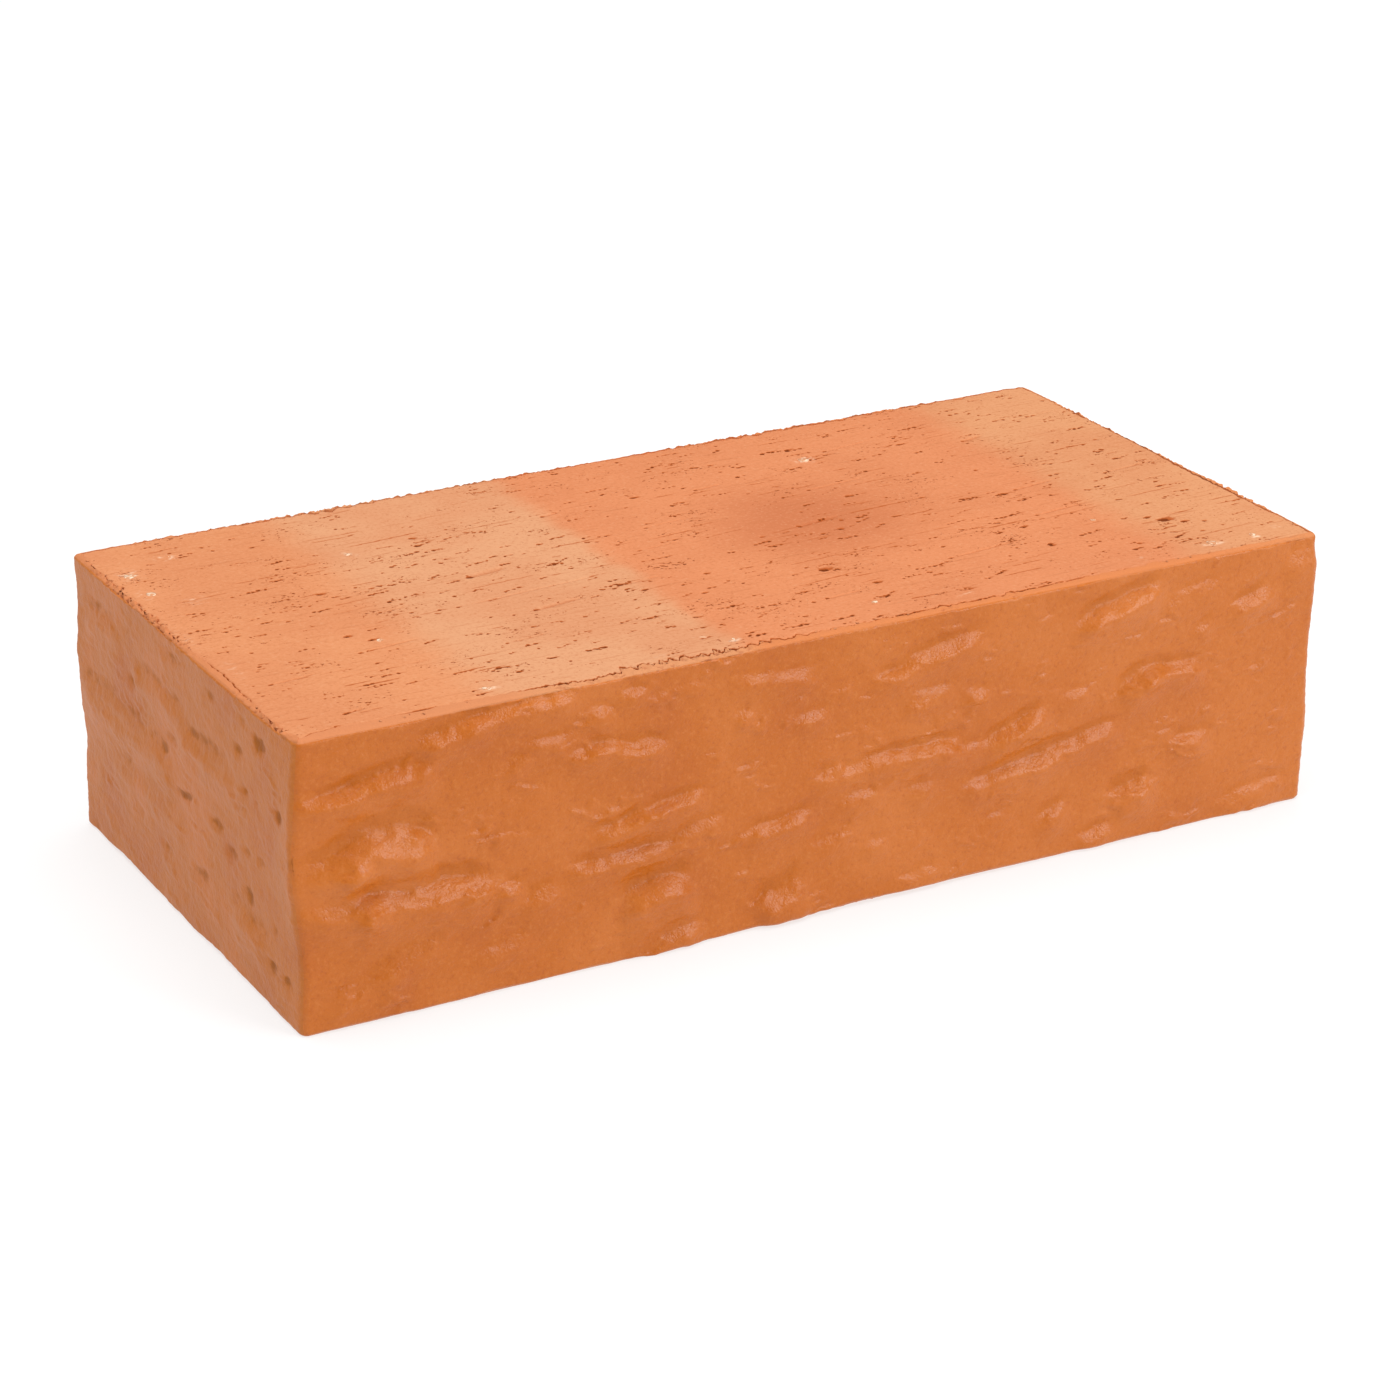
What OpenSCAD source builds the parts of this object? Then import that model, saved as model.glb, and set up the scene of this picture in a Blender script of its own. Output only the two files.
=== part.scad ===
// Solid rustic facing brick, fired clay.
// The clay column is extruded upright, textured on its four sides and cut by wires, so the
// top and bottom are the two wire-cut beds and the four sides carry the denser fired skin.
// Frame: origin at the middle of the bottom bed, +X along the length, +Z up, and the front
// stretcher face looks towards -Y.

/* [Format] */
// Length of a stretcher face, header to header
brick_l = 250; // [190:1:300]
// Width of a header face, stretcher to stretcher
brick_w = 120; // [85:1:150]
// Height from bed to bed
brick_h = 65; // [40:1:140]

/* [Fired skin] */
// Thickness of the dense fired skin on the four side faces
skin_t = 2; // [1:0.1:4]
// Radius that the die leaves on the four upright arrises
die_corner_r = 2; // [0.5:0.1:3]
// Radius of the arrises round the two wire-cut beds
bed_arris_r = 1.5; // [0.5:0.1:3]

/* [Exposed grains] */
// Diameter of the largest pale grain that shows in a bed
grain_d = 2.8; // [1.6:0.1:3.2]
// Depth of a grain's centre below the bed, as a share of its radius
grain_sink = 0.4; // [0.2:0.05:0.6]

/* [Colour] */
// Porous clay of the beds and the core
clay_colour = "#EB9B6D";
// Satin fired skin of the side faces
skin_colour = "#D07940";
// Pale mineral grains
grain_colour = "#F0D9C2";

/* [Hidden] */
$fn = 64;
// Overshoot of a cutting shape past the faces that it crosses
past = 5;

// Each grain is [x, y, share of grain_d]. A positive x is counted from the left header and a
// negative one from the right header; y likewise from the front and the back stretcher.
TOP_GRAINS = [
    [6, -20, 1], [17, -13, 0.6], [6, -32, 0.8], [53, -30, 0.6], [-77, -23, 1], [38, 41, 0.5],
    [46, 7, 0.7], [-110, 11, 0.5], [103, 6.5, 0.6], [-25, 6.5, 0.9], [-14, 6.5, 0.6], [-40, 31, 0.5]
];
BOTTOM_GRAINS = [
    [22, 18, 0.8], [64, -27, 1], [41, -9, 0.5], [-96, 22, 0.6], [-58, -37, 0.9], [-21, 15, 0.7],
    [-12, -18, 0.5], [94, 41, 0.6]
];

// Place along one side that is counted from its low end, or from its high end if negative
function from_end(v, full) = v >= 0 ? v - full / 2 : v + full / 2;

// Rectangle about the origin with exact round corners
module round_rect(w, h, r) {
    square([w - 2 * r, h], center = true);
    square([w, h - 2 * r], center = true);
    for (sx = [-1, 1], sy = [-1, 1])
        translate([sx * (w / 2 - r), sy * (h / 2 - r)]) circle(r);
}

// The whole brick's outer shape: round upright arrises, round bed arrises
module envelope() {
    intersection() {
        linear_extrude(brick_h) round_rect(brick_l, brick_w, die_corner_r);
        translate([-brick_l / 2 - past, 0, brick_h / 2]) rotate([90, 0, 90])
            linear_extrude(brick_l + 2 * past) round_rect(brick_w, brick_h, bed_arris_r);
        translate([0, brick_w / 2 + past, brick_h / 2]) rotate([90, 0, 0])
            linear_extrude(brick_w + 2 * past) round_rect(brick_l, brick_h, bed_arris_r);
    }
}

// Plan region of a side face's skin, looking towards -Y, mitred where it meets its neighbours
module mitred_strip(len, depth) {
    linear_extrude(brick_h)
        polygon([
            [-len / 2, -depth / 2],
            [len / 2, -depth / 2],
            [len / 2 - skin_t, -depth / 2 + skin_t],
            [-len / 2 + skin_t, -depth / 2 + skin_t]
        ]);
}

// Skin of one side face. turn is 0 front, 90 right, 180 back and 270 left
module face_skin(turn) {
    across = turn % 180 == 0;
    color(skin_colour) intersection() {
        envelope();
        rotate([0, 0, turn])
            mitred_strip(across ? brick_l : brick_w, across ? brick_w : brick_l);
    }
}

// One grain: a ball set into a bed that lies at height z, with the material on its dir side
module grain(g, z, dir) {
    r = g[2] * grain_d / 2;
    translate([from_end(g[0], brick_l), from_end(g[1], brick_w), z + dir * grain_sink * r])
        sphere(r);
}

module grain_balls() {
    for (g = TOP_GRAINS) grain(g, brick_h, -1);
    for (g = BOTTOM_GRAINS) grain(g, 0, 1);
}

// Block of clay inside the four skins; its top and bottom are the wire-cut beds
module core_block() {
    intersection() {
        envelope();
        translate([-brick_l / 2 + skin_t, -brick_w / 2 + skin_t, 0])
            cube([brick_l - 2 * skin_t, brick_w - 2 * skin_t, brick_h]);
    }
}

module clay_body() {
    color(clay_colour) difference() {
        core_block();
        grain_balls();
    }
}

module front_stretcher_skin() { face_skin(0); }
module right_header_skin() { face_skin(90); }
module back_stretcher_skin() { face_skin(180); }
module left_header_skin() { face_skin(270); }

// Grains broken flush with the beds by the cutting wire
module exposed_grains() {
    color(grain_colour) intersection() {
        grain_balls();
        core_block();
    }
}

clay_body();
front_stretcher_skin();
back_stretcher_skin();
left_header_skin();
right_header_skin();
exposed_grains();
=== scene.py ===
"""A solid rustic facing brick of fired clay, dressed round its CAD frame.

The brick is one fired block, so its pieces are its surfaces: two wire-cut clay beds, four side
skins that the die and the texturing rollers left, the crumbs that the cutting wire tore along
the arrises, and the pale grains that show in the beds. Sizes in the classes are millimetres;
meshes are in metres, in the row frame. Faces are measured as a mason reads them: x from the
left end to the right as the face is looked at, and z up from the bottom bed.
"""
import logging
import math
from collections.abc import Callable
from dataclasses import dataclass, field, replace
from enum import Enum

import bpy
import numpy as np
from mathutils import Matrix, Vector


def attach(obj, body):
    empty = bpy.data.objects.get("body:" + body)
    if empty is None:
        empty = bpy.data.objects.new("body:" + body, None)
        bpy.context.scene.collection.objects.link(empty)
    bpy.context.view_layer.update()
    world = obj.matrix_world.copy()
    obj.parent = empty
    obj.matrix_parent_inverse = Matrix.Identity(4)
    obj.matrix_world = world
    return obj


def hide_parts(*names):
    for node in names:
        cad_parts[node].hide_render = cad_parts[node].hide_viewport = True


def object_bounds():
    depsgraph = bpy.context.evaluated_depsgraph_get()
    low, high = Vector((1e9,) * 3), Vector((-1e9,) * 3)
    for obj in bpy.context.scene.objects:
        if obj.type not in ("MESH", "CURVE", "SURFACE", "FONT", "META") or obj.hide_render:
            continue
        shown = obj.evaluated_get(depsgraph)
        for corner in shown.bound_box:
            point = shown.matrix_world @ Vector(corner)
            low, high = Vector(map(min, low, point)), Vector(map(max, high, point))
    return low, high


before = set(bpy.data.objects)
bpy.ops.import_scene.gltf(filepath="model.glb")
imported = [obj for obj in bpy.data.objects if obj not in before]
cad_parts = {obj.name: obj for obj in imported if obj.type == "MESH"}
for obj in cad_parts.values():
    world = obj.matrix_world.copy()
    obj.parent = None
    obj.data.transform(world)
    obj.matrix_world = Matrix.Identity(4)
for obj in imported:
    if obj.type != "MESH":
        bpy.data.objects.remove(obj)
CAD_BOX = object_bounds()
LOG = logging.getLogger("brick")
MM = 0.001
MAP_NAME = "OFBake"
# A place along an arris, how far round it a change reaches, and how strong the change is.
Spots = tuple[tuple[float, float, float], ...]


# ---------------------------------------------------------------- small helpers


def hex_to_linear(code: str, alpha: float = 1.0) -> tuple[float, float, float, float]:
    """Turns an sRGB colour into the linear numbers that a shader takes.

    Args:
        code: Colour as six hex digits, such as "D07940".
        alpha: Fourth number of the result.

    Returns:
        Red, green, blue and alpha.
    """
    parts = [int(code[i:i + 2], 16) / 255 for i in (0, 2, 4)]
    red, green, blue = (c / 12.92 if c <= 0.04045 else ((c + 0.055) / 1.055) ** 2.4 for c in parts)
    return red, green, blue, alpha


def ease(x: np.ndarray, low: float, high: float) -> np.ndarray:
    """Gives 0 below low, 1 above high, and a smooth step between."""
    t = np.clip((x - low) / (high - low), 0, 1)
    return t * t * (3 - 2 * t)


def bell(x: np.ndarray, middle: float, spread: float) -> np.ndarray:
    """Gives a soft hump of height 1 round middle."""
    return np.exp(-(((x - middle) / spread) ** 2))


@dataclass(frozen=True)
class ClayNoise:
    """Repeatable gradient noise in space, roughly between -1 and 1.

    Each use of it has a seed of its own, so that no two patterns line up.
    """

    seed: int

    def at(self, points: np.ndarray, cell: tuple[float, float, float], octaves: int = 1) -> np.ndarray:
        """Reads the noise at some points.

        Args:
            points: Places in millimetres, with x, y and z on the last axis.
            cell: Size of one lump of noise along x, y and z, in millimetres.
            octaves: How many finer layers are added, each at half the strength.

        Returns:
            One number for each point.
        """
        dice = np.random.default_rng(self.seed)
        order = np.tile(dice.permutation(256), 2)
        slopes = dice.normal(size=(256, 3))
        slopes /= np.linalg.norm(slopes, axis=1)[:, None]
        # Odd shifts, and a ratio just off 2, keep the lattices of the layers from lining up.
        place = points.reshape(-1, 3) / np.asarray(cell) + 31.7
        total = np.zeros(len(place))
        strength, weight = 1.0, 0.0
        for _ in range(octaves):
            total += strength * self._layer(place, order, slopes)
            weight += strength
            place, strength = place * 2.03 + 11.3, strength / 2
        full_range = 1.9
        return (full_range * total / weight).reshape(points.shape[:-1])

    @staticmethod
    def _layer(place: np.ndarray, order: np.ndarray, slopes: np.ndarray) -> np.ndarray:
        """Blends the slopes of the eight lattice corners round each place.

        Args:
            place: Places in cells.
            order: A shuffle of 0 to 255, twice over.
            slopes: The 256 slopes that a lattice corner may have.

        Returns:
            One number for each place.
        """
        base = np.floor(place).astype(int)
        part = place - base
        base &= 255
        fade = part ** 3 * (part * (part * 6 - 15) + 10)
        total = np.zeros(len(place))
        for corner in np.ndindex(2, 2, 2):
            key = np.zeros(len(place), int)
            for axis in range(3):
                key = order[key + ((base[:, axis] + corner[axis]) & 255)]
            share = np.prod(np.where(corner, fade, 1 - fade), axis=1)
            total += share * ((part - corner) * slopes[key]).sum(1)
        return total


def deselect_all() -> None:
    """Leaves object mode with nothing selected."""
    if bpy.context.object and bpy.context.object.mode != "OBJECT":
        bpy.ops.object.mode_set(mode="OBJECT")
    bpy.ops.object.select_all(action="DESELECT")


def take_up(piece: bpy.types.Object) -> None:
    """Makes a piece the only selected object, and the active one.

    Args:
        piece: The object.
    """
    deselect_all()
    piece.select_set(True)
    bpy.context.view_layer.objects.active = piece


def edit_points(piece: bpy.types.Object, chosen: np.ndarray, *steps: Callable[[], set]) -> None:
    """Selects some points of a piece and runs edit-mode operators on them.

    Args:
        piece: The mesh object.
        chosen: True for each vertex to select.
        steps: Operators to call in turn, each without arguments.
    """
    take_up(piece)
    mesh = piece.data
    bpy.context.tool_settings.mesh_select_mode = (True, False, False)
    mesh.polygons.foreach_set("select", np.zeros(len(mesh.polygons), bool))
    ends = np.zeros(len(mesh.edges) * 2, np.int32)
    mesh.edges.foreach_get("vertices", ends)
    mesh.edges.foreach_set("select", chosen[ends.reshape(-1, 2)].all(1))
    mesh.vertices.foreach_set("select", chosen)
    bpy.ops.object.mode_set(mode="EDIT")
    for step in steps:
        step()
    bpy.ops.object.mode_set(mode="OBJECT")


def edit_all(piece: bpy.types.Object, step: Callable[[], set]) -> None:
    """Runs one edit-mode operator on the whole of a piece."""
    edit_points(piece, np.ones(len(piece.data.vertices), bool), step)


def turn_outwards() -> set:
    """Points the selected faces outwards."""
    return bpy.ops.mesh.normals_make_consistent(inside=False)


def add_sheet(name: str, columns: int, rows: int) -> bpy.types.Object:
    """Adds a flat sheet of the given number of points each way, which is then shaped.

    Args:
        name: What the piece and its mesh are called.
        columns: Points along X.
        rows: Points along Y.

    Returns:
        The sheet.
    """
    deselect_all()
    bpy.ops.mesh.primitive_grid_add(x_subdivisions=columns - 1, y_subdivisions=rows - 1, size=0.1)
    sheet = bpy.context.object
    sheet.name = sheet.data.name = name
    return sheet


def smooth(piece: bpy.types.Object, degrees: float) -> bpy.types.Object:
    """Shades a piece smooth but for edges sharper than an angle, and gives it back.

    Args:
        piece: The mesh object.
        degrees: The angle.

    Returns:
        The same piece.
    """
    take_up(piece)
    bpy.ops.object.shade_smooth_by_angle(angle=math.radians(degrees))
    return piece


def points_of(piece: bpy.types.Object) -> np.ndarray:
    """Reads a piece's vertices, in millimetres.

    Args:
        piece: The mesh object.

    Returns:
        Their places, one in each row.
    """
    flat = np.zeros(len(piece.data.vertices) * 3)
    piece.data.vertices.foreach_get("co", flat)
    return flat.reshape(-1, 3) / MM


def set_points(piece: bpy.types.Object, points: np.ndarray) -> None:
    """Moves a piece's vertices to places in millimetres."""
    piece.data.vertices.foreach_set("co", (points * MM).ravel())
    piece.data.update()


def paint(piece: bpy.types.Object, name: str, values: np.ndarray) -> None:
    """Stores one number for each vertex, which the material reads by name."""
    layer = piece.data.attributes.new(name, "FLOAT", "POINT")
    layer.data.foreach_set("value", values.astype(np.float32).ravel())


def store_map(piece: bpy.types.Object, across: np.ndarray, up: np.ndarray) -> None:
    """Lays the piece out flat in a UV map, from a place between 0 and 1 for each face corner."""
    layer = piece.data.uv_layers.new(name=MAP_NAME)
    layer.data.foreach_set("uv", np.stack([across, up], 1).astype(np.float32).ravel())


def corner_points(piece: bpy.types.Object) -> tuple[np.ndarray, np.ndarray]:
    """Gives each face corner's vertex number and face number.

    Args:
        piece: The mesh object.

    Returns:
        The vertex of each corner, and the face of each corner.
    """
    mesh = piece.data
    vertex = np.zeros(len(mesh.loops), np.int32)
    mesh.loops.foreach_get("vertex_index", vertex)
    sides = np.zeros(len(mesh.polygons), np.int32)
    mesh.polygons.foreach_get("loop_total", sides)
    return vertex, np.repeat(np.arange(len(sides)), sides)


def hidden_layout(points: np.ndarray, strip: float) -> tuple[np.ndarray, np.ndarray]:
    """Places hidden walls in a thin strip at the foot of the map.

    Args:
        points: The piece's vertices.
        strip: How much of the map's height the strip takes.

    Returns:
        Each vertex's place across the map and up it.
    """
    # A slanted measure keeps the walls of different faces apart.
    lean = points[:, 0] * 0.7 + points[:, 1] * 0.37
    across = 0.02 + 0.96 * (lean - lean.min()) / np.ptp(lean)
    rise = points[:, 2] - points[:, 2].min()
    return across, strip * (0.1 + 0.8 * rise / max(np.ptp(points[:, 2]), 1.0))


# ---------------------------------------------------------------- sizes of the brick


@dataclass(frozen=True)
class BrickSize:
    """Nominal sizes, read from the frame, and the radius that the die gives the upright arrises."""

    length: float
    width: float
    height: float
    die_radius: float = 2.0

    @classmethod
    def from_frame(cls) -> "BrickSize":
        """Reads the frame's overall box.

        Returns:
            The brick's sizes in millimetres.
        """
        low, high = (Vector(c) / MM for c in CAD_BOX)
        return cls(*(high - low))


class Side(Enum):
    """The four upright faces: turn from the front in quarter turns, and whether it is long."""

    FRONT = (0, True)
    RIGHT = (1, False)
    BACK = (2, True)
    LEFT = (3, False)

    def __init__(self, quarter: int, is_long: bool) -> None:
        """Keeps the turn from the front, and whether the face is a stretcher."""
        self.quarter = quarter
        self.is_long = is_long

    @property
    def along(self) -> np.ndarray:
        """Direction from the face's left end to its right end, looked at from outside."""
        return np.array([(1, 0, 0), (0, 1, 0), (-1, 0, 0), (0, -1, 0)][self.quarter], float)

    @property
    def outward(self) -> np.ndarray:
        """Direction that the face looks in."""
        return np.array([(0, -1, 0), (1, 0, 0), (0, 1, 0), (-1, 0, 0)][self.quarter], float)

    def span(self, size: BrickSize) -> float:
        """Length of the face."""
        return size.length if self.is_long else size.width

    def reach(self, size: BrickSize) -> float:
        """Distance of the face from the brick's middle."""
        return (size.width if self.is_long else size.length) / 2

    def girth(self, size: BrickSize) -> float:
        """Length of the face's skin from mitre to mitre, round half of each upright arris."""
        return self.span(size) - size.die_radius * (2 - math.pi / 2)

    def start(self, size: BrickSize) -> float:
        """Distance round the brick from the front's left mitre to this face's left mitre."""
        return sum(side.girth(size) for side in list(Side)[:self.quarter])

    def beside(self, step: int) -> "Side":
        """Gives the next face to the right for 1, or to the left for -1."""
        return list(Side)[(self.quarter + step) % 4]


# ---------------------------------------------------------------- marks in the surface

# How much the noted rise of every fold, and the noted depth of every hollow, is scaled.
FOLD_DEPTH = 1.75
DENT_DEPTH = 0.75


@dataclass(frozen=True)
class Lap:
    """A fold of skin that a roller pushed down: a crease, and a ledge facing up under it.

    It runs from (x0, z0) to (x1, z1) on a face, is tall across, stands out by rise, and its middle
    is higher than its ends by bow.
    """

    x0: float
    z0: float
    x1: float
    z1: float
    tall: float = 2.6
    rise: float = 0.6
    bow: float = 0.0

    def moved(self, by: float) -> "Lap":
        """Gives the same fold farther along the face."""
        return replace(self, x0=self.x0 + by, x1=self.x1 + by)

    def height_at(self, x: np.ndarray, z: np.ndarray) -> np.ndarray:
        """Works out how far the fold pushes the face out.

        Args:
            x: Places along the face.
            z: Heights above the bottom bed.

        Returns:
            Outward distance for each place, negative in the crease.
        """
        run, climb = self.x1 - self.x0, self.z1 - self.z0
        length = math.hypot(run, climb)
        along = ((x - self.x0) * run + (z - self.z0) * climb) / length
        across = ((z - self.z0) * run - (x - self.x0) * climb) / length
        t = along / length
        across = across - self.bow * 4 * t * (1 - t)
        soft = min(0.45, 4.0 / length)
        ends = ease(t, -soft * 0.6, soft) * (1 - ease(t, 1 - soft, 1 + soft * 0.6))
        down = -across / self.tall
        # The ledge is nearly flat, so that it takes the light all over.
        ramp = 0.8 * np.clip(down + 0.5, 0, 1) + 0.2 * ease(down, -0.7, 0.7)
        crease = bell(down, -0.8, 0.6)
        return ends * FOLD_DEPTH * self.rise * (ramp * (1 - ease(down, 0.5, 2.8)) - 0.38 * crease)


@dataclass(frozen=True)
class Dent:
    """A soft hollow in a face, centred at (x, z), wide by tall, leaning up to the right."""

    x: float
    z: float
    wide: float
    tall: float
    deep: float = 0.5
    lean: float = 0.0

    def moved(self, by: float) -> "Dent":
        """Gives the same hollow farther along the face."""
        return replace(self, x=self.x + by)

    def height_at(self, x: np.ndarray, z: np.ndarray) -> np.ndarray:
        """Works out the hollow's depth as a negative outward distance.

        Args:
            x: Places along the face.
            z: Heights above the bottom bed.

        Returns:
            Outward distance for each place, zero or less.
        """
        dx = (x - self.x) / (self.wide / 2)
        dz = (z - self.z - self.lean * (x - self.x)) / (self.tall / 2)
        # The upper wall of a hollow is the steeper one, as the clay was dragged down.
        reach = np.hypot(dx, np.where(dz > 0, dz * 1.15, dz * 0.9))
        return -DENT_DEPTH * self.deep * (1 - ease(reach, 0.0, 1.35))


FRONT_LAPS = [
    Lap(-2, 50.5, 14, 51.5, 2.6, 0.75), Lap(10, 51.5, 30, 54.5, 3.0, 0.8),
    Lap(27, 58.5, 42, 61.5, 2.6, 0.7), Lap(38, 61.5, 62, 63, 2.0, 0.5), Lap(-3, 34, 14, 37.5, 4.4, 1.1),
    Lap(9, 38.5, 30, 36.5, 5.4, 1.25, 2.4), Lap(-3, 27.5, 18, 26.5, 3.6, 0.95),
    Lap(12, 26.6, 42, 25.6, 3.8, 1.15), Lap(44, 24.5, 50, 22.5, 2.6, 0.6),
    Lap(46, 49.5, 51, 51.5, 2.0, 0.45), Lap(50, 53.5, 61, 54.5, 2.0, 0.4),
    Lap(60, 50.5, 73, 49.8, 2.2, 0.6), Lap(72, 49, 83, 47.5, 2.8, 0.7), Lap(65, 58.5, 71, 57, 2.2, 0.5),
    Lap(72, 60.5, 79, 61, 2.0, 0.4), Lap(66, 30.5, 78, 32.5, 2.4, 0.75),
    Lap(76, 33.5, 92, 35, 2.4, 0.7), Lap(60, 24, 84, 24.8, 2.6, 0.7), Lap(83, 25.5, 97, 28.5, 2.0, 0.4),
    Lap(49, 18, 58, 20.5, 3.2, 0.5), Lap(73, 12.8, 89, 15.4, 4.6, 1.2, 1.0),
    Lap(78, 1.6, 91, 4.6, 2.8, 0.7, 0.6), Lap(105, 5, 117, 8.6, 4.4, 1.0),
    Lap(102, 22.6, 118, 24.8, 2.4, 0.6), Lap(100, 58.5, 119, 57, 2.6, 0.35),
    Lap(99, 50, 104, 51.2, 2.0, 0.35), Lap(114, 46.6, 121, 47.2, 2.2, 0.4),
    Lap(134, 52, 142, 53.2, 2.4, 0.65), Lap(140, 54.5, 160, 57.2, 3.0, 0.65),
    Lap(141, 46.6, 153, 47.2, 2.6, 0.45), Lap(118, 31.8, 134, 33.4, 2.6, 0.4),
    Lap(133, 33.6, 155, 33.2, 2.8, 0.85), Lap(153, 31.6, 162, 31.4, 2.4, 0.4),
    Lap(162, 31.2, 177, 36, 2.6, 0.9), Lap(157, 22.6, 177, 25.2, 2.8, 0.65),
    Lap(174, 25, 196, 29, 2.6, 0.8), Lap(124, 25.6, 137, 26.6, 2.2, 0.4),
    Lap(142, 23.8, 149, 25.8, 2.4, 0.45), Lap(118, 16.5, 129, 19.4, 2.4, 0.4),
    Lap(131, 13.6, 137, 14.6, 2.0, 0.45), Lap(176, 10.6, 184, 12.2, 2.8, 0.65),
    Lap(162, 12.8, 169, 14.4, 2.4, 0.4), Lap(196, 10.8, 206, 13.8, 4.0, 1.0),
    Lap(187, 3, 197, 4.6, 2.6, 0.55), Lap(226, 3.4, 242, 6, 3.0, 0.4),
    Lap(197, 35.8, 206, 40.6, 3.2, 1.0, 0.5), Lap(203, 40.6, 219, 38.4, 2.6, 0.75, 0.8),
    Lap(185, 54.8, 206, 60.4, 3.2, 0.95), Lap(211, 22.2, 221, 21.6, 2.6, 0.65),
    Lap(226, 50.8, 237, 54.4, 2.8, 0.6), Lap(216, 48, 221, 49, 2.0, 0.35),
    Lap(241, 59, 252, 61, 4.2, 0.6), Lap(181, 38.8, 190, 39.6, 2.2, 0.35),
    Lap(156, 44.6, 163, 43.8, 2.2, 0.35), Lap(16, 10, 31, 16, 3.4, 0.35), Lap(4, 6, 22, 9.5, 3.0, 0.3),
    Lap(38, 9, 52, 11, 2.6, 0.3), Lap(140, 3.4, 152, 4.4, 2.6, 0.3), Lap(208, 56, 222, 58, 2.4, 0.3),
]
LEFT_LAPS = [
    Lap(2, 36.6, 54, 35.0, 4.2, 0.42), Lap(34, 50.4, 64, 49, 3.0, 0.4), Lap(60, 44.6, 88, 46, 3.4, 0.5),
    Lap(86, 15.5, 104, 14, 3.2, 0.4), Lap(20, 23, 60, 24.5, 3.4, 0.3),
    Lap(6, 52, 26, 55, 3.4, 0.4, 1.2),
]
LEFT_DENTS = [
    Dent(11, 53, 9, 4, 0.4), Dent(22, 34.4, 30, 3.4, 0.6), Dent(33, 47, 7, 4, 0.5),
    Dent(43, 46, 6, 6, 0.25), Dent(56, 42, 8, 3.4, 0.5), Dent(70, 41.4, 10, 4, 0.7),
    Dent(82, 44.6, 14, 4, 0.8, 0.16), Dent(92, 53.4, 7, 4, 0.5), Dent(103, 58.4, 7, 4.6, 0.8),
    Dent(95, 45, 5, 3.4, 0.5), Dent(100.5, 45, 3, 2.6, 0.35), Dent(112, 46.4, 5, 4, 0.8),
    Dent(62, 31.6, 13, 3.2, 0.75, 0.2), Dent(50, 36, 5, 7, 0.35), Dent(28, 28, 8, 4, 0.45),
    Dent(45, 28, 14, 3.4, 0.3), Dent(79, 31.6, 10, 4, 0.6), Dent(86, 27.6, 7, 5.4, 0.75, 0.2),
    Dent(95, 31.6, 5, 3, 0.5), Dent(102, 32, 5, 3, 0.4), Dent(95, 21.8, 6, 5.4, 0.75),
    Dent(107, 20, 3, 6, 0.4), Dent(36, 17.6, 7, 5, 0.4), Dent(50, 14.6, 7, 4.4, 0.45),
    Dent(70, 16.4, 11, 5, 0.5, 0.15), Dent(105, 10.6, 11, 5, 0.85), Dent(113, 10, 5, 3.4, 0.7),
    Dent(60, 7, 7, 4, 0.4), Dent(6, 1.8, 6, 3.6, 0.4), Dent(7, 16, 5, 6, 0.25),
    Dent(58, 61.6, 14, 4, 0.45), Dent(78, 60.6, 8, 3.4, 0.5), Dent(96, 60.8, 6, 3.4, 0.4),
    Dent(30, 58, 12, 4, 0.2), Dent(14, 12, 10, 5, 0.25),
]


def guessed_laps(side: Side, size: BrickSize, count: int, most: float = 0.95) -> list[Lap]:
    """Draws folds like the front's for a face that isn't seen.

    Args:
        side: The face, which seeds the draw.
        size: The brick's sizes.
        count: How many folds to draw.
        most: How far out the boldest one stands.

    Returns:
        The folds.
    """
    dice = np.random.default_rng(500 + side.quarter)
    laps = []
    for _ in range(count):
        long = dice.uniform(6, 24)
        x, z = dice.uniform(9, side.span(size) - 9 - long), dice.uniform(3, size.height - 3)
        climb = long * dice.normal(0.10, 0.10)
        tall = dice.uniform(2.0, 3.6) + 0.04 * long
        rise, bow = dice.uniform(0.3 * most, most), dice.uniform(-0.3, 0.9)
        laps.append(Lap(x, z, x + long, z + climb, tall, rise, bow))
    return laps


def guessed_dents(side: Side, size: BrickSize, count: int) -> list[Dent]:
    """Draws soft hollows for a face that isn't seen.

    Args:
        side: The face, which seeds the draw.
        size: The brick's sizes.
        count: How many hollows to draw.

    Returns:
        The hollows.
    """
    dice = np.random.default_rng(700 + side.quarter)
    dents = []
    for _ in range(count):
        x, z = dice.uniform(10, side.span(size) - 10), dice.uniform(3, size.height - 2)
        wide, tall = dice.uniform(4, 13), dice.uniform(3, 5.5)
        dents.append(Dent(x, z, wide, tall, dice.uniform(0.3, 0.75), dice.normal(0.05, 0.1)))
    return dents


# ---------------------------------------------------------------- the arrises


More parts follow.
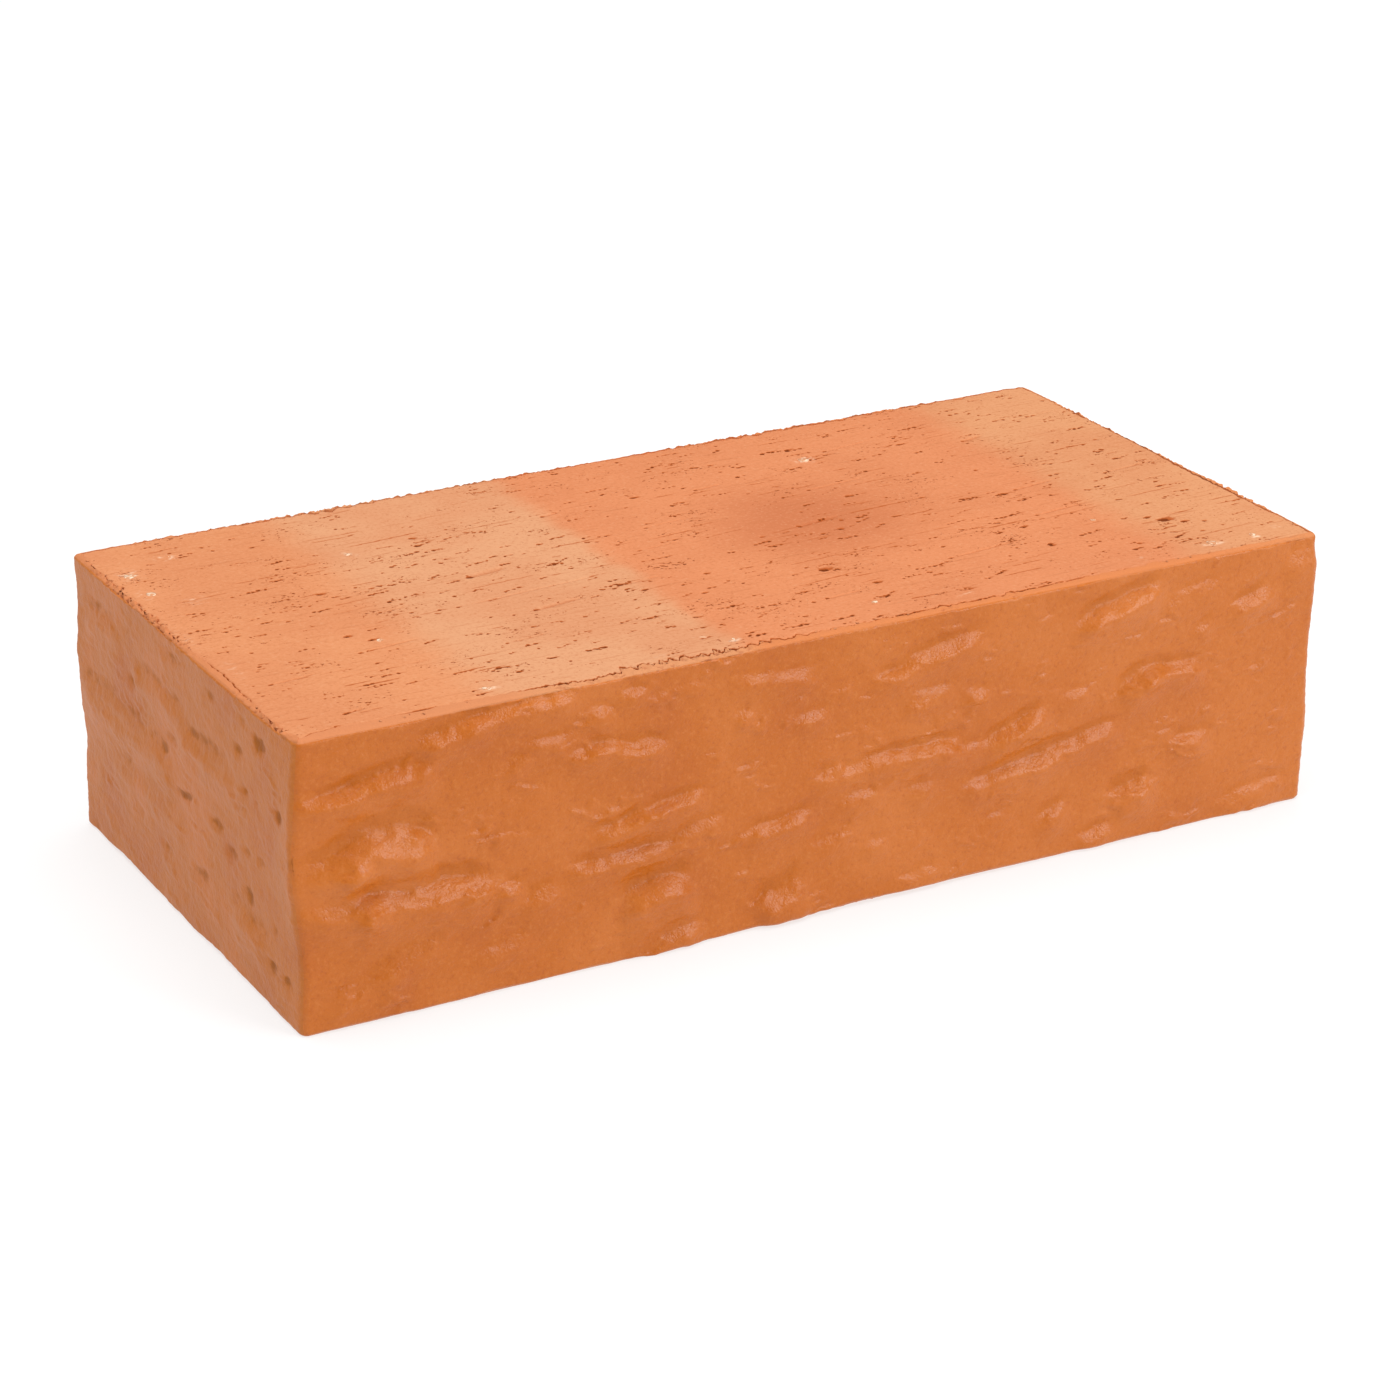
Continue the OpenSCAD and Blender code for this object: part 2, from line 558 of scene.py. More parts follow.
@dataclass(frozen=True)
class ArrisLine:
    """The lip that the wire rolled over along one bed arris, and the crack beside it on the bed.

    It tells both the skin and the bed where the ragged edge runs, so the two agree. Broad is how
    far in the lip reaches, ragged how far its inner edge wavers, radius how round its outer edge
    is, roll how far it was rolled down, step how far it lies below the bed, and cracked how deep
    the crack beside it is.
    """

    side: Side
    on_top: bool
    broad: float = 1.7
    ragged: float = 0.35
    radius: float = 0.9
    roll: float = 0.3
    wide_spots: Spots = ()
    tooth_spots: Spots = ()
    crack_spots: Spots = ()
    crumb_spots: Spots = ()
    step: float = 0.0
    step_spots: Spots = ()
    cracked: float = 0.22
    corner_radius: float = 0.8

    def _noise(self, seed: int, x: np.ndarray, cell: float, octaves: int = 2) -> np.ndarray:
        """Reads noise along the arris, which has a line of its own in the noise.

        Args:
            seed: Which noise.
            x: Places along the face.
            cell: Size of one lump.
            octaves: How many finer layers are added.

        Returns:
            One number for each place.
        """
        line = np.zeros(x.shape + (3,))
        line[..., 0], line[..., 1] = x, 40.0 * self.side.quarter
        line[..., 2] = 300.0 if self.on_top else 0.0
        return ClayNoise(seed).at(line, (cell, cell, cell), octaves)

    @staticmethod
    def _at_spots(x: np.ndarray, spots: Spots) -> np.ndarray:
        """Adds up soft humps at the spots."""
        humps = (strong * bell(x, middle, reach) for middle, reach, strong in spots)
        return sum(humps, np.zeros(x.shape))

    def _clear_of_corner(self, x: np.ndarray, size: BrickSize) -> np.ndarray:
        """Gives 0 on the upright arrises and 1 along the face."""
        from_end = np.minimum(x, self.side.span(size) - x)
        return ease(from_end, size.die_radius, size.die_radius + 5)

    def rounding(self, x: np.ndarray, size: BrickSize) -> np.ndarray:
        """Gives the arris's own radius along the face."""
        return self.corner_radius + (self.radius - self.corner_radius) * self._clear_of_corner(x, size)

    def inset(self, x: np.ndarray, size: BrickSize) -> np.ndarray:
        """Gives the distance from the face to the lip's ragged inner edge.

        Args:
            x: Places along the face, from its left end.
            size: The brick's sizes.

        Returns:
            Distance in from the face at each place.
        """
        edge = self.broad + self.ragged * self._noise(11, x, 17) + self._at_spots(x, self.wide_spots)
        teeth = 0.5 * self.ragged + self._at_spots(x, self.tooth_spots)
        edge = edge + teeth * (4.6 * np.abs(self._noise(14, x, 4.2, 3)) - 0.75)
        room = size.die_radius - 0.2
        clear = self._clear_of_corner(x, size)
        return np.maximum(room + (edge - room) * clear, self.rounding(x, size) + 0.2)

    def lift(self, x: np.ndarray) -> np.ndarray:
        """Gives how far the lip's inner edge stands above the bed, or below it where negative."""
        curl = 0.04 + 0.16 * ease(self._noise(12, x, 11), -0.3, 0.6)
        return curl - self.step - self._at_spots(x, self.step_spots)

    def crack(self, x: np.ndarray) -> np.ndarray:
        """Gives how deep the crack beside the lip is."""
        spots = self._at_spots(x, self.crack_spots) + 0.3 * self._at_spots(x, self.tooth_spots)
        return 0.03 + self.cracked * ease(self._noise(13, x, 7), -0.2, 0.5) + spots

    def crumble(self, x: np.ndarray) -> np.ndarray:
        """Gives how broken up the arris is, from 0 to 1."""
        worn = 0.25 * ease(self._noise(15, x, 9), 0.1, 0.8)
        return np.clip(worn + self._at_spots(x, self.crumb_spots), 0, 1)


def arris_lines() -> dict[tuple[Side, bool], ArrisLine]:
    """Describes all eight bed arrises.

    Returns:
        The lines by face, and by whether they lie along the top bed.
    """
    lines = {}
    for side in Side:
        for on_top in (True, False):
            lines[side, on_top] = ArrisLine(side, on_top, broad=1.6 if side.is_long else 1.1)
    lines[Side.FRONT, True] = ArrisLine(
        Side.FRONT, True, broad=2.1, ragged=0.35, radius=0.55, roll=0.3,
        wide_spots=((8, 30, 0.7), (38, 20, 0.8), (64, 5, -0.5), (92, 22, 0.5), (232, 14, -0.5)),
        tooth_spots=((74, 15, 1.0), (97, 15, 1.1), (122, 12, 0.5), (152, 4, 0.7), (168, 3, 0.6),
                     (205, 12, 0.35)),
        crack_spots=((8, 5, 0.35), (30, 3.5, 0.45), (56, 8, 0.35), (76, 9, 0.2), (98, 12, 0.2),
                     (152, 4, 0.3)),
        crumb_spots=((78, 16, 0.35), (98, 12, 0.45), (60, 7, 0.35), (152, 3, 0.5), (168, 3, 0.4),
                     (242, 6, 0.3)),
        step=0.12,
        step_spots=((58, 6, 0.15), (88, 26, 0.25), (160, 45, 0.22), (8, 4, 0.15), (30, 3, 0.15)))
    lines[Side.LEFT, True] = ArrisLine(
        Side.LEFT, True, broad=1.0, ragged=0.4, radius=0.5, roll=0.15,
        wide_spots=((84, 14, 0.7),),
        tooth_spots=((38, 20, 0.7), (110, 8, 0.5)),
        crack_spots=((84, 13, 0.5), (30, 14, 0.2)),
        crumb_spots=((14, 5, 0.4), (24, 5, 0.9), (36, 8, 1.0), (49, 7, 1.0), (57, 4, 0.7),
                     (66, 5, 0.3), (94, 5, 0.4), (104, 6, 0.5), (113, 5, 1.0)),
        cracked=0.15)
    lines[Side.BACK, True] = ArrisLine(
        Side.BACK, True, broad=1.3, ragged=0.5, radius=0.6, roll=0.25,
        tooth_spots=((60, 40, 0.5), (190, 30, 0.4)),
        crumb_spots=((40, 12, 0.5), (80, 20, 0.7), (140, 20, 0.5), (190, 25, 0.7), (230, 8, 0.5)),
        cracked=0.05)
    lines[Side.RIGHT, True] = ArrisLine(
        Side.RIGHT, True, broad=1.2, ragged=0.45, radius=0.6, roll=0.2,
        crack_spots=((40, 15, 0.3),),
        crumb_spots=((30, 12, 0.8), (60, 10, 0.5), (92, 14, 0.8)),
        cracked=0.1)
    return lines


ARRIS_LINES = arris_lines()


@dataclass(frozen=True)
class CornerWave:
    """How one upright arris wanders from its true line, with its swells as spots up its height."""

    x_sign: int
    y_sign: int
    swells: Spots = ()
    wobble: float = 0.12
    reach: float = 7.0

    def shift(self, points: np.ndarray, size: BrickSize) -> np.ndarray:
        """Works out the sideways shift that the arris gives the skin near it.

        Args:
            points: Nominal places on the skin.
            size: The brick's sizes.

        Returns:
            A vector for each place, level with the beds.
        """
        corner = np.array([self.x_sign * size.length, self.y_sign * size.width]) / 2
        away = np.hypot(points[..., 0] - corner[0], points[..., 1] - corner[1])
        near = np.exp(-((away / self.reach) ** 2))
        z = points[..., 2]
        line = np.stack([np.full_like(z, 90.0 * self.x_sign), np.full_like(z, 60.0 * self.y_sign), z], -1)
        noise = ClayNoise(21)
        swell = sum((out * bell(z, height, reach) for height, reach, out in self.swells), np.zeros(z.shape))
        shift = np.zeros(points.shape)
        shift[..., 0] = near * (swell + self.wobble * noise.at(line, (9, 9, 11), 2)) * self.x_sign
        shift[..., 1] = near * self.wobble * noise.at(line + 50, (9, 9, 9), 2) * self.y_sign
        return shift


CORNER_WAVES = [
    CornerWave(-1, -1, ((38, 10, 1.3), (15, 7, -0.6), (66, 8, -0.8))),
    CornerWave(-1, 1, ((21, 8, -0.6), (42, 9, 0.2))),
    CornerWave(1, -1, ((50, 9, 0.35), (33, 6, -0.3), (18, 6, 0.25))),
    CornerWave(1, 1, ((45, 12, 0.3), (20, 8, -0.25))),
]


# ---------------------------------------------------------------- side skins


@dataclass
class FiredSkin:
    """The fired skin of one upright face, wrapped over its arrises and closed behind.

    Step is the side of a cell of the sheet. Bark is how strong the faint rolled folds are, drawn
    how strong the die's streaks are, frayed how far the bold folds' edges waver, and crumbled how
    rough a broken arris is. Foot is how far the skin turns in behind its lips.
    """

    side: Side
    size: BrickSize
    marks: list[Lap | Dent]
    node: str
    step: float = 0.43
    bark: float = 0.6
    drawn: float = 0.0
    frayed: float = 0.2
    arc_cells: int = 4
    round_cells: int = 6
    band_cells: int = 5
    foot: float = 0.9
    crumbled: float = 1.1
    floor_gap: float = 0.02
    fold_gap: float = 5.2
    fold_rounds: int = 14
    strip: float = 0.045

    def _columns(self) -> np.ndarray:
        """Gives the sheet's columns as arc lengths from the middle of the face.

        Returns:
            The arc lengths, from the left mitre to the right one.
        """
        flat = self.side.span(self.size) / 2 - self.size.die_radius
        bend = self.size.die_radius * math.pi / 4
        straight = np.linspace(-flat, flat, round(2 * flat / self.step) + 1)
        curve = np.linspace(flat, flat + bend, self.arc_cells + 1)[1:]
        return np.concatenate([-curve[::-1], straight, curve])

    def _rows(self) -> tuple[np.ndarray, np.ndarray]:
        """Gives the sheet's rows, from the top band to the bottom one.

        Returns:
            For each row its zone (0 foot, 1 band, 2 arc, 3 face, then 4, 5 and 6 mirrored), and its
            share of the way through that zone.
        """
        counts = [1, self.band_cells, self.round_cells, round((self.size.height - 2) / self.step),
                  self.round_cells, self.band_cells, 1]
        zone = np.repeat(np.arange(7), counts)
        share = np.concatenate([np.arange(n) / n for n in counts])
        return np.append(zone, 6), np.append(share, 1.0)

    def _outline(self, arc: np.ndarray) -> tuple[np.ndarray, np.ndarray, np.ndarray]:
        """Bends the columns round the upright arrises.

        Args:
            arc: Column places as arc lengths.

        Returns:
            Place along the face, place outward of its plane, and angle of the outline's normal.
        """
        radius = self.size.die_radius
        flat = self.side.span(self.size) / 2 - radius
        turn = np.clip((np.abs(arc) - flat) / radius, 0, None) * np.sign(arc)
        along = np.clip(arc, -flat, flat) + radius * np.sin(turn)
        return along, -radius * (1 - np.cos(turn)), turn

    def _profile(self, zone: np.ndarray, share: np.ndarray,
                 x: np.ndarray) -> tuple[np.ndarray, np.ndarray, np.ndarray]:
        """Shapes the rows from the top lip, over the arris, down the face and under.

        Args:
            zone: Zone of each row.
            share: Share of the way through the zone.
            x: Place of each column along the face.

        Returns:
            Inset and height of each point, and the angle of each row's normal above level.
        """
        height = self.size.height
        top, low = ARRIS_LINES[self.side, True], ARRIS_LINES[self.side, False]
        tilt = np.select([zone <= 1, zone == 2, zone == 3, zone == 4],
                         [1.0, 1 - share, 0.0, -share], -1.0) * math.pi / 2
        inset, z = np.zeros((len(zone), len(x))), np.zeros((len(zone), len(x)))
        top_edge, low_edge = top.inset(x, self.size), low.inset(x, self.size)
        top_round, low_round = top.rounding(x, self.size), low.rounding(x, self.size)
        for row, (where, part) in enumerate(zip(zone, share)):
            lean, rise = 1 - math.cos(tilt[row]), math.sin(tilt[row])
            if where <= 1:
                inset[row] = top_edge + (top_round - top_edge) * (part if where else 0)
                z[row] = height - (top.roll * part ** 2 if where else self.foot * (1 - part))
            elif where == 2:
                inset[row], z[row] = top_round * lean, height - top.roll - top_round * (1 - rise)
            elif where == 3:
                z[row] = low_round + (1 - part) * (height - top.roll - top_round - low_round)
            elif where == 4:
                inset[row], z[row] = low_round * lean, low_round * (1 + rise)
            else:
                inset[row] = low_round + (low_edge - low_round) * (part if where == 5 else 1)
                z[row] = self.foot * part if where == 6 else 0
        return inset, z, tilt

    def _relief(self, x: np.ndarray, points: np.ndarray) -> tuple[np.ndarray, np.ndarray]:
        """Works out the rustic relief.

        Args:
            x: Places along the skin from its left mitre.
            points: Nominal places in space.

        Returns:
            Outward distance, and the depth in a crease or hollow, 0 to 1, that the painted shade follows.
        """
        z = points[..., 2]
        wander = ClayNoise(31)
        # The folds were drawn one by one, and wander a little, as torn clay does.
        fine = (2.6, 2.6, 2.2)
        x_bent = x + 0.9 * wander.at(points, (9, 9, 6), 2)
        x_bent = x_bent + self.frayed * wander.at(points + 90, fine, 2)
        z_bent = z + 0.9 * wander.at(points + 200, (9, 9, 12), 2)
        z_bent = z_bent + self.frayed * wander.at(points + 300, fine, 2)
        placed = np.zeros(x.shape)
        for mark in self.marks:
            placed += mark.height_at(x_bent, z_bent)
        # Folds are pressed flatter where they run over an upright arris.
        kept = 0.3 + 0.7 * ease(np.minimum(x, self.side.girth(self.size) - x), 0, 9)
        placed *= kept * (1 + 0.35 * wander.at(points + 400, (8, 8, 5), 2))
        swell = 0.22 * ClayNoise(32).at(points, (48, 48, 30))
        swell = swell + 0.30 * ClayNoise(33).at(points, (17, 17, 9), 2)
        # The faint folds run up to the right by a whole number of steps round the brick.
        slope = z / self.fold_gap - (self.side.start(self.size) + x) * self.fold_rounds / self._round()
        down = 1 - (slope + 1.2 * ClayNoise(34).at(points, (9, 9, 5), 3)) % 1.0
        patchy = ease(ClayNoise(35).at(points, (10, 10, 6), 2), 0.0, 0.6)
        ridge = ease(down, 0.0, 0.5) * (1 - ease(down, 0.4, 1.0)) - 0.2
        bark = self._share(x, self.bark) * patchy * ridge
        crumb = 0.16 * ClayNoise(36).at(points, (3.2, 3.2, 2.0), 3)
        crumb = crumb + 0.035 * ClayNoise(37).at(points, (1.1, 1.1, 0.9), 2)
        # The die drew faint upright streaks down the headers, strongest near their right end.
        right = 0.3 + 0.7 * bell(x, 98, 14)
        streaks = 0.05 * ClayNoise(39).at(points, (1.8, 1.8, 16), 2)
        height = placed + swell + bark + crumb + self._share(x, self.drawn) * right * streaks
        uneven = 0.22 * ClayNoise(38).at(points, (2.6, 2.6, 2), 3)
        return height, ease(-(placed + 0.5 * bark) + uneven, 0.0, 0.65)

    def _share(self, x: np.ndarray, value: float) -> np.ndarray:
        """Fades a face's own strength to nothing at each mitre, where it meets the next face."""
        return value * ease(np.minimum(x, self.side.girth(self.size) - x), 1, 10)

    def _round(self) -> float:
        """Gives the distance all the way round the brick."""
        return 2 * (Side.FRONT.girth(self.size) + Side.RIGHT.girth(self.size))

    def build(self) -> bpy.types.Object:
        """Models the skin from a flat sheet.

        Returns:
            The finished piece, without its material.
        """
        arc = self._columns()
        zone, share = self._rows()
        piece = add_sheet(f"fired_{self.node}", len(arc), len(zone))
        shape = (len(zone), len(arc))
        along, back, turn = self._outline(arc)
        x = along + self.side.span(self.size) / 2
        inset, z, tilt = self._profile(zone, share, x)
        normal = np.sin(turn)[:, None] * self.side.along + np.cos(turn)[:, None] * self.side.outward
        plane = (self.side.reach(self.size) + back)[:, None] * self.side.outward
        points = (along[:, None] * self.side.along + plane)[None] - inset[..., None] * normal[None]
        points[..., 2] = z
        facing = np.cos(tilt)[:, None, None] * normal[None] + np.zeros(shape + (3,))
        facing[..., 2] = np.sin(tilt)[:, None]
        height, hollow_shade = self._relief(np.broadcast_to(arc - arc[0], shape), points)
        hold = np.select([zone == 3, zone == 2, zone == 4],
                         [1.0, 0.25 + 0.75 * share, 1 - 0.75 * share], 0.0)[:, None]
        push = facing * (height * hold)[..., None]
        push[..., 2] += np.where(zone == 1, 1 - share, 0.0)[:, None] * ARRIS_LINES[self.side, True].lift(x)
        worn = np.where((zone == 2) | (zone == 4), np.sin(share * math.pi), 0.0)[:, None]
        uneven = ease(ClayNoise(41).at(points, (14, 14, 60), 2), -0.4, 0.6)
        push -= facing * (worn * (0.08 + 0.16 * uneven))[..., None]
        broken = np.where(zone == 1, 1.0, np.where(zone == 2, 1 - ease(share, 0.7, 1.0), 0.0))[:, None]
        broken = broken * ARRIS_LINES[self.side, True].crumble(x)
        rubble = ClayNoise(43).at(points, (1.5, 1.5, 1.5), 3)
        rubble = rubble + 0.3 * ClayNoise(44).at(points, (0.8, 0.8, 0.8))
        push += facing * (broken * self.crumbled * rubble)[..., None]
        push[..., 2] += self._bottom_lift(np.broadcast_to(x, shape), z)
        for wave in CORNER_WAVES:
            push += wave.shift(points, self.size)
        placed = points + push
        # Nothing dips under the floor that the brick rests on.
        placed[..., 2] = np.maximum(placed[..., 2], self.floor_gap)
        set_points(piece, placed[::-1].reshape(-1, 3))
        self._close(piece, shape)
        self._lay_out(piece, arc, z[:, 0], inset[:, 0], shape)
        top_lip = np.where(zone <= 1, 1.0, np.where(zone == 2, 1 - ease(share, 0.3, 0.8), 0.0))
        low_lip = np.where(zone >= 5, 1.0, np.where(zone == 4, ease(share, 0.4, 1.0), 0.0))
        lip = np.broadcast_to((top_lip + low_lip)[:, None], shape)
        # The material paints shade with the hollow depth, and paints the sunken bits of a broken arris
        # darker, partly as shade.
        marks = {"lip": lip, "hollow_shade": hollow_shade * hold, "tear": broken * ease(-rubble, 0.0, 0.4)}
        for name, values in marks.items():
            paint(piece, name, values[::-1])
        return smooth(piece, 55)

    def _bottom_lift(self, x: np.ndarray, z: np.ndarray) -> np.ndarray:
        """Lifts the bottom arris off its true line, and never pushes it below the bed.

        Args:
            x: Places along the face.
            z: Nominal heights.

        Returns:
            How far each place is lifted.
        """
        row = np.zeros(x.shape + (3,))
        row[..., 0], row[..., 1] = x, 70.0 * self.side.quarter
        wave = 0.25 * ease(ClayNoise(42).at(row, (13, 13, 13), 2), -0.5, 0.8)
        if self.side is Side.FRONT:
            wave = wave * 0.6 + 0.5 * bell(x, 140, 30)
        if self.side is Side.LEFT:
            wave = wave + 0.3 * bell(x, 20, 12) + 0.25 * bell(x, 75, 10)
        from_end = np.minimum(x, self.side.span(self.size) - x)
        return wave * (1 - ease(z, 1.0, 6.0)) * ease(from_end, 0.5, 6)

    def _close(self, piece: bpy.types.Object, shape: tuple[int, int]) -> None:
        """Bridges the sheet's two long edges behind it and caps its mitred ends.

        Args:
            piece: The sheet, in its final shape.
            shape: Number of rows and columns.
        """
        rows, cols = shape
        index = np.arange(rows * cols).reshape(shape)
        ends = np.zeros(rows * cols, bool)
        ends[index[0]] = ends[index[-1]] = True
        edit_points(piece, ends, bpy.ops.mesh.bridge_edge_loops)
        for column in (0, -1):
            rim = np.zeros(rows * cols, bool)
            rim[index[:, column]] = True
            edit_points(piece, rim, bpy.ops.mesh.edge_face_add)
        edit_all(piece, turn_outwards)

    def _lay_out(self, piece: bpy.types.Object, arc: np.ndarray, z: np.ndarray, inset: np.ndarray,
                 shape: tuple[int, int]) -> None:
        """Unrolls the sheet over nearly the whole map, with the hidden walls in a strip.

        Args:
            piece: The sheet, closed.
            arc: Column places as arc lengths.
            z: Height of each row.
            inset: Inset of each row.
            shape: Number of rows and columns.
        """
        rows, cols = shape
        down = np.concatenate([[0], np.cumsum(np.hypot(np.diff(z), np.diff(inset)))])
        up = (self.strip + (1 - self.strip) * (1 - down / down[-1]))[::-1]
        across = (arc - arc[0]) / np.ptp(arc)
        vertex, face = corner_points(piece)
        sheet = face < (rows - 1) * (cols - 1)
        u_hidden, v_hidden = hidden_layout(points_of(piece), self.strip)
        store_map(piece, np.where(sheet, np.tile(across, rows)[vertex], u_hidden[vertex]),
                  np.where(sheet, np.repeat(up, cols)[vertex], v_hidden[vertex]))


# ---------------------------------------------------------------- wire-cut beds


@dataclass(frozen=True)
class Gouge:
    """A torn groove from (x0, y0) to (x1, y1) on a bed, counted from its front left corner."""

    x0: float
    y0: float
    x1: float
    y1: float
    wide: float
    deep: float


@dataclass(frozen=True)
class Pit:
    """A torn pit in a bed, centred at (x, y)."""

    x: float
    y: float
    long: float
    wide: float
    deep: float


@dataclass(frozen=True)
class Scuff:
    """A patch of chalky dust on a bed, centred at (x, y)."""

    x: float
    y: float
    long: float
    wide: float
    strength: float
    solid: float = 0.2


TOP_GOUGES = [
    Gouge(70, 65, 80.5, 67, 2.2, 0.55), Gouge(60, 50.2, 98, 53.2, 0.5, 0.3),
    Gouge(92, 44.8, 108, 46.4, 0.5, 0.35), Gouge(74, 41, 87, 43.2, 1.5, 0.5),
    Gouge(149, 58.6, 161, 60.6, 1.5, 0.6), Gouge(163, 78.4, 180, 80.2, 0.5, 0.3),
    Gouge(140, 90.6, 148, 91.6, 0.6, 0.3), Gouge(101, 91.4, 106.5, 92.4, 0.8, 0.4),
    Gouge(8, 29.4, 20, 30.8, 0.6, 0.3), Gouge(31, 36.4, 47, 38.4, 0.7, 0.3),
    Gouge(15, 8.6, 20.5, 9.6, 0.8, 0.35), Gouge(213, 90.8, 220, 92.4, 1.4, 0.45),
    Gouge(205, 56.2, 218, 58.2, 0.7, 0.4), Gouge(230, 56.2, 248, 58.6, 0.5, 0.3),
    Gouge(200, 39.6, 216, 41.8, 0.6, 0.35), Gouge(168, 25.6, 188, 28, 0.7, 0.28),
    Gouge(44, 55, 52, 56, 0.5, 0.25), Gouge(118, 74, 131, 75.6, 0.4, 0.22),
    Gouge(180, 100, 196, 102, 0.4, 0.22), Gouge(110, 62, 124, 63.4, 0.4, 0.2),
    Gouge(60, 27, 72, 28.4, 0.5, 0.22), Gouge(232, 98, 246, 99.6, 0.4, 0.22),
    Gouge(20, 78, 33, 79.4, 0.4, 0.2), Gouge(128, 17, 143, 18.6, 0.5, 0.22),
]
TOP_PITS = [
    Pit(141, 33, 4.2, 2.6, 1.0), Pit(157, 53, 2.2, 1.6, 0.8), Pit(170, 71, 3.0, 1.6, 0.8),
    Pit(70, 93, 2.2, 1.4, 0.6), Pit(69, 88, 2.6, 1.0, 0.5), Pit(38, 71, 3.2, 1.4, 0.6),
    Pit(33, 46, 2.6, 1.4, 0.6), Pit(37, 42, 3.4, 1.0, 0.5), Pit(126, 93, 3.4, 1.4, 0.6),
    Pit(199, 96, 2.6, 1.2, 0.5), Pit(117, 43, 2.6, 1.0, 0.5), Pit(111, 33, 2.2, 1.2, 0.5),
    Pit(139, 57, 1.8, 1.0, 0.6), Pit(147, 21, 3.6, 1.6, 0.6), Pit(82, 33, 1.6, 1.0, 0.6),
    Pit(194, 35, 2.8, 1.2, 0.5), Pit(193, 22, 2.0, 1.4, 0.5), Pit(225, 24, 5.0, 3.2, 0.7),
    Pit(222, 27, 2.6, 1.4, 0.6), Pit(228, 21, 3.0, 1.6, 0.6), Pit(228, 14, 1.6, 1.0, 0.6),
    Pit(232, 19, 1.6, 1.0, 0.5), Pit(211, 14, 2.6, 1.2, 0.6), Pit(123, 11, 1.8, 0.9, 0.5),
    Pit(237, 43, 3.4, 1.2, 0.5), Pit(160, 58, 1.6, 1.4, 0.9), Pit(149.5, 59, 1.6, 1.2, 0.8),
    Pit(75, 41.2, 1.6, 1.0, 0.8), Pit(49, 69, 2.0, 1.0, 0.5), Pit(13, 57, 1.8, 0.9, 0.5),
    Pit(93, 76, 2.2, 1.0, 0.5), Pit(152, 104, 2.2, 1.0, 0.5), Pit(184, 62, 2.4, 1.0, 0.5),
    Pit(205, 72, 2.0, 1.0, 0.5), Pit(242, 77, 2.0, 1.0, 0.5), Pit(56, 12, 2.2, 1.0, 0.4),
]
TOP_SCUFFS = [
    Scuff(6, 101, 7, 12, 0.6), Scuff(17, 107, 8, 6, 0.6), Scuff(5, 88, 6, 8, 0.5),
    Scuff(53, 90, 8, 5, 0.5), Scuff(173, 97, 7, 6, 0.7, 0.5), Scuff(38, 41, 1.6, 1.4, 0.8, 1.0),
    Scuff(46.5, 7, 6, 2.2, 0.8, 0.7), Scuff(97, 11, 7, 4, 0.5), Scuff(103, 6, 4, 1.8, 0.7, 0.5),
    Scuff(225, 6, 8, 2.6, 0.8, 0.6), Scuff(236, 5, 3, 1.6, 0.8, 0.7), Scuff(244, 8, 6, 3, 0.5),
    Scuff(160, 6, 6, 2.6, 0.4), Scuff(205, 6, 6, 2.6, 0.4), Scuff(3, 62, 4, 20, 0.35),
    Scuff(85, 5.5, 10, 2.8, 0.4), Scuff(12, 80, 10, 8, 0.4), Scuff(5, 40, 5, 16, 0.3),
]


